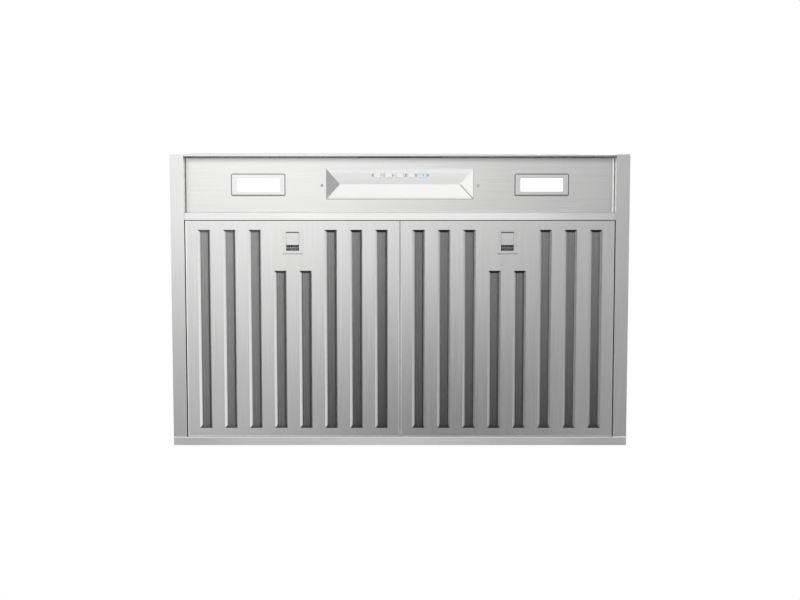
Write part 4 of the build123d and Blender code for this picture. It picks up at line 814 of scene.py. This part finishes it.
def inkStroke(path, centre, body="hood", above=0.0):
    # a flat ribbon: a small rectangle carried along the path, its width square to the path in the
    # plane of the pod's front slope
    path = np.asarray(path, float) * np.array(iconInks["size"])
    heading = np.gradient(path, axis=0)
    heading /= np.linalg.norm(heading, axis=1, keepdims=True)
    side = np.stack([-heading[:, 1], heading[:, 0]], -1) * iconInks["stroke"] / 2
    origin, up, out = (np.array(podFace[key]) for key in ("origin", "up", "out"))
    sunk, proud = -iconInks["sunk"], iconInks["proud"]
    ring = []
    for edge, lift in ((-1, sunk), (1, sunk), (1, proud), (-1, proud)):
        flat = path + side * edge
        ring.append(origin + np.array([centre, 0, 0]) + flat[:, :1] * np.array([1.0, 0, 0])
                    + flat[:, 1:] * up + (lift + above) * out)
    return skinRings("inkPart", np.stack(ring, 1), body, iconInk)


def arcPath(radius, start, stop, count=18, x=0.0, y=0.0):
    # points on a circle between two angles in degrees
    turn = np.radians(np.linspace(start, stop, count))
    return np.stack([np.cos(turn) * radius + x, np.sin(turn) * radius + y], -1)


# the strokes of each mark, as points counted in half widths and half heights of a mark
iconPaths = [
    [arcPath(0.9, 125, 415), [(0, 0.25), (0, 1.15)]],
    [[(-0.8, 0), (0, 0), (0.8, 0)]],
    [[(-0.8, 0), (0, 0), (0.8, 0)], [(0, -0.8), (0, 0), (0, 0.8)]],
    [arcPath(0.95, 0, 350), [(0, 0.6), (0, 0), (0.5, -0.25)]],
    [arcPath(0.75, -60, 240, y=0.25), [(-0.4, -0.7), (0.4, -0.7)], [(-0.3, -1.05), (0.3, -1.05)]],
    [[(0, -0.9), (0, 0), (0, 0.9)]],
    [arcPath(0.8, 0, 350)],
]
litKeyPaths = [[(-0.3, 0.9), (0.5, 0.9)], arcPath(0.8, -60, 100)]
strokes = []
for centre, paths in zip(iconInks["places"], iconPaths):
    strokes += [inkStroke(path, centre) for path in paths]
joinPieces("podIcons", strokes)
litStrokes = [inkStroke(path, keyGlow["at"][0], "key_5", iconInks["keyFace"]) for path in litKeyPaths]
joinPieces("litKeyIcon", litStrokes)
print("key icons inked")


# the camera looks up at the hood from below, a few degrees off the vertical
shot = {"away": 2.5, "elevation": -83.80, "lens": 71.23, "sensor": 36.0, "target": (0.00004, -0.00191, 0.0)}
tilt = math.radians(shot["elevation"])
looking = Vector((0.0, math.cos(tilt), -math.sin(tilt)))
camera = bpy.data.objects.new("hoodCamera", bpy.data.cameras.new("hoodCamera"))
camera.data.lens = shot["lens"]
camera.data.sensor_width = shot["sensor"]
camera.location = Vector(shot["target"]) - looking * shot["away"]
camera.rotation_euler = (math.radians(90.0 - shot["elevation"]), 0.0, 0.0)
bpy.context.scene.collection.objects.link(camera)
bpy.context.scene.camera = camera
bpy.context.scene.view_settings.view_transform = "Standard"


def stageCard(name, corners, paintCard, cameraSees=False):
    # a flat four-cornered card of the studio, which the camera doesn't see and which casts no shadow unless
    # cameraSees is set
    mesh = bpy.data.meshes.new(name)
    mesh.from_pydata(corners, [], [(0, 1, 2, 3)])
    material = bpy.data.materials.new(name)
    material.use_nodes = True
    graph = Graph(material.node_tree)
    graph.node("ShaderNodeOutputMaterial", {}, {"Surface": paintCard(graph)})
    mesh.materials.append(material)
    card = bpy.data.objects.new(name, mesh)
    card.visible_camera = cameraSees
    card.visible_shadow = cameraSees
    bpy.context.scene.collection.objects.link(card)
    return card


def levelCorners(plan):
    # the four corners of a level square round the hood's own axis
    half, height = plan["half"], plan["height"]
    return [(-half, -half, height), (half, -half, height), (half, half, height), (-half, half, height)]


floorPlan = {"height": -0.34, "half": 6.0, "tone": 0.86}


def paleFloor(graph):
    # matt floor for the camera above it; anything from below, and every other ray, goes through
    ray = graph.node("ShaderNodeLightPath", {}, {}, "Is Camera Ray")
    behind = graph.node("ShaderNodeNewGeometry", {}, {}, "Backfacing")
    matt = graph.node("ShaderNodeBsdfDiffuse", {}, {"Color": grey(floorPlan["tone"])})
    clear = graph.node("ShaderNodeBsdfTransparent")
    return graph.node("ShaderNodeMixShader", {}, {0: ray * (1.0 - behind), 1: clear, 2: matt})


stageCard("paleFloor", levelCorners(floorPlan), paleFloor, cameraSees=True)

lowCard = {"height": -3.2, "half": 2.3, "base": 0.444,
           "gleam": {"at": (-0.441, -0.253), "wide": (0.937, 0.731), "more": 1.303},
           "shade": {"at": (0.147, 0.769), "wide": (0.455, 0.426), "more": -0.664}}


def bell(across, along, spot):
    # e to the minus square of the distance from the spot's middle, counted in its widths, times the
    # spot's height
    sideways = (across - spot["at"][0]) / spot["wide"][0]
    forward = (along - spot["at"][1]) / spot["wide"][1]
    return math.e ** ((sideways ** 2.0 + forward ** 2.0) * -1.0) * spot["more"]


def lowGradient(graph):
    # the backdrop under the hood: an even grey, brighter to the front left and darker behind the middle
    across, along = graph.along()[:2]
    level = bell(across, along, lowCard["gleam"]) + bell(across, along, lowCard["shade"]) + lowCard["base"]
    return graph.node("ShaderNodeEmission", {}, {"Color": grey(1.0), "Strength": level})


stageCard("lowCard", levelCorners(lowCard), lowGradient)

# upright cards round the hood, each across one axis: the level at the horizon, what is added lower down,
# and the depths between which that comes
wallHalf = 3.4
lowGlow = {"span": (-4.6, -2.1), "more": 0.0, "depths": (2.0, 3.0)}
wallCards = {
    "leftWall": {"across": 0, "at": -4.5, "span": (-3.2, 1.2), "level": 0.08, "more": 0.30,
                 "depths": (0.3, 2.8)},
    "rightWall": {"across": 0, "at": 4.5, "span": (-1.0, 1.2), "level": 0.42, "more": 0.58,
                  "depths": (0.1, 1.0)},
    "rightGlow": {"across": 0, "at": 4.5, "level": 1.30, **lowGlow},
    "rearGlow": {"across": 1, "at": 4.5, "level": 1.30, **lowGlow},
    "frontDim": {"across": 1, "at": -4.5, "level": 1.0, **lowGlow},
}


def wallCard(name, card):
    # a level that rises smoothly with the depth below the hood
    def paintWall(graph):
        level = graph.ease(graph.along()[2] * -1.0, *card["depths"]) * card["more"] + card["level"]
        return graph.node("ShaderNodeEmission", {}, {"Color": grey(1.0), "Strength": level})

    low, high = card["span"]
    flat = [(-wallHalf, low), (wallHalf, low), (wallHalf, high), (-wallHalf, high)]
    if card["across"] == 0:
        corners = [(card["at"], along, height) for along, height in flat]
    else:
        corners = [(along, card["at"], height) for along, height in flat]
    return stageCard(name, corners, paintWall)


for cardName, card in wallCards.items():
    wallCard(cardName, card)

room = {"seen": 1.0, "cast": 0.75}
world = bpy.data.worlds.new("whiteRoom")
world.use_nodes = True
bpy.context.scene.world = world
sky = Graph(world.node_tree)
# the camera sees white round the hood, straight, mirrored or through a clear face; the light that
# this white room casts is a little dimmer
cameraRay, mirrorRay, clearRay = (sky.node("ShaderNodeLightPath", {}, {}, "Is " + kind + " Ray")
                                  for kind in ("Camera", "Glossy", "Transmission"))
backdrop, castLight = (sky.node("ShaderNodeBackground", {}, {"Color": grey(1.0), "Strength": room[key]})
                       for key in ("seen", "cast"))
seen = cameraRay.most(mirrorRay).most(clearRay)
whiteRoom = sky.node("ShaderNodeMixShader", {}, {0: seen, 1: castLight, 2: backdrop})
sky.node("ShaderNodeOutputWorld", {}, {"Surface": whiteRoom})


def softLamp(name, place, aim, wide, power):
    # a square softbox turned towards the point it lights
    lamp = bpy.data.lights.new(name, "AREA")
    lamp.shape, lamp.size, lamp.energy = "SQUARE", wide, power
    holder = bpy.data.objects.new(name, lamp)
    holder.location = place
    holder.rotation_euler = (Vector(aim) - Vector(place)).to_track_quat("-Z", "Y").to_euler()
    bpy.context.scene.collection.objects.link(holder)
    return holder


softBoxes = {"frontBoxLow": {"place": (-1.6, -1.6, -2.2), "aim": (0, 0, 0), "wide": 1.6, "power": 22.0},
             "topBox": {"place": (1.2, -1.4, 2.6), "aim": (0, 0, 0.1), "wide": 1.4, "power": 40.0}}
for lampName, box in softBoxes.items():
    softLamp(lampName, **box)
print("camera, floor and lamps set")
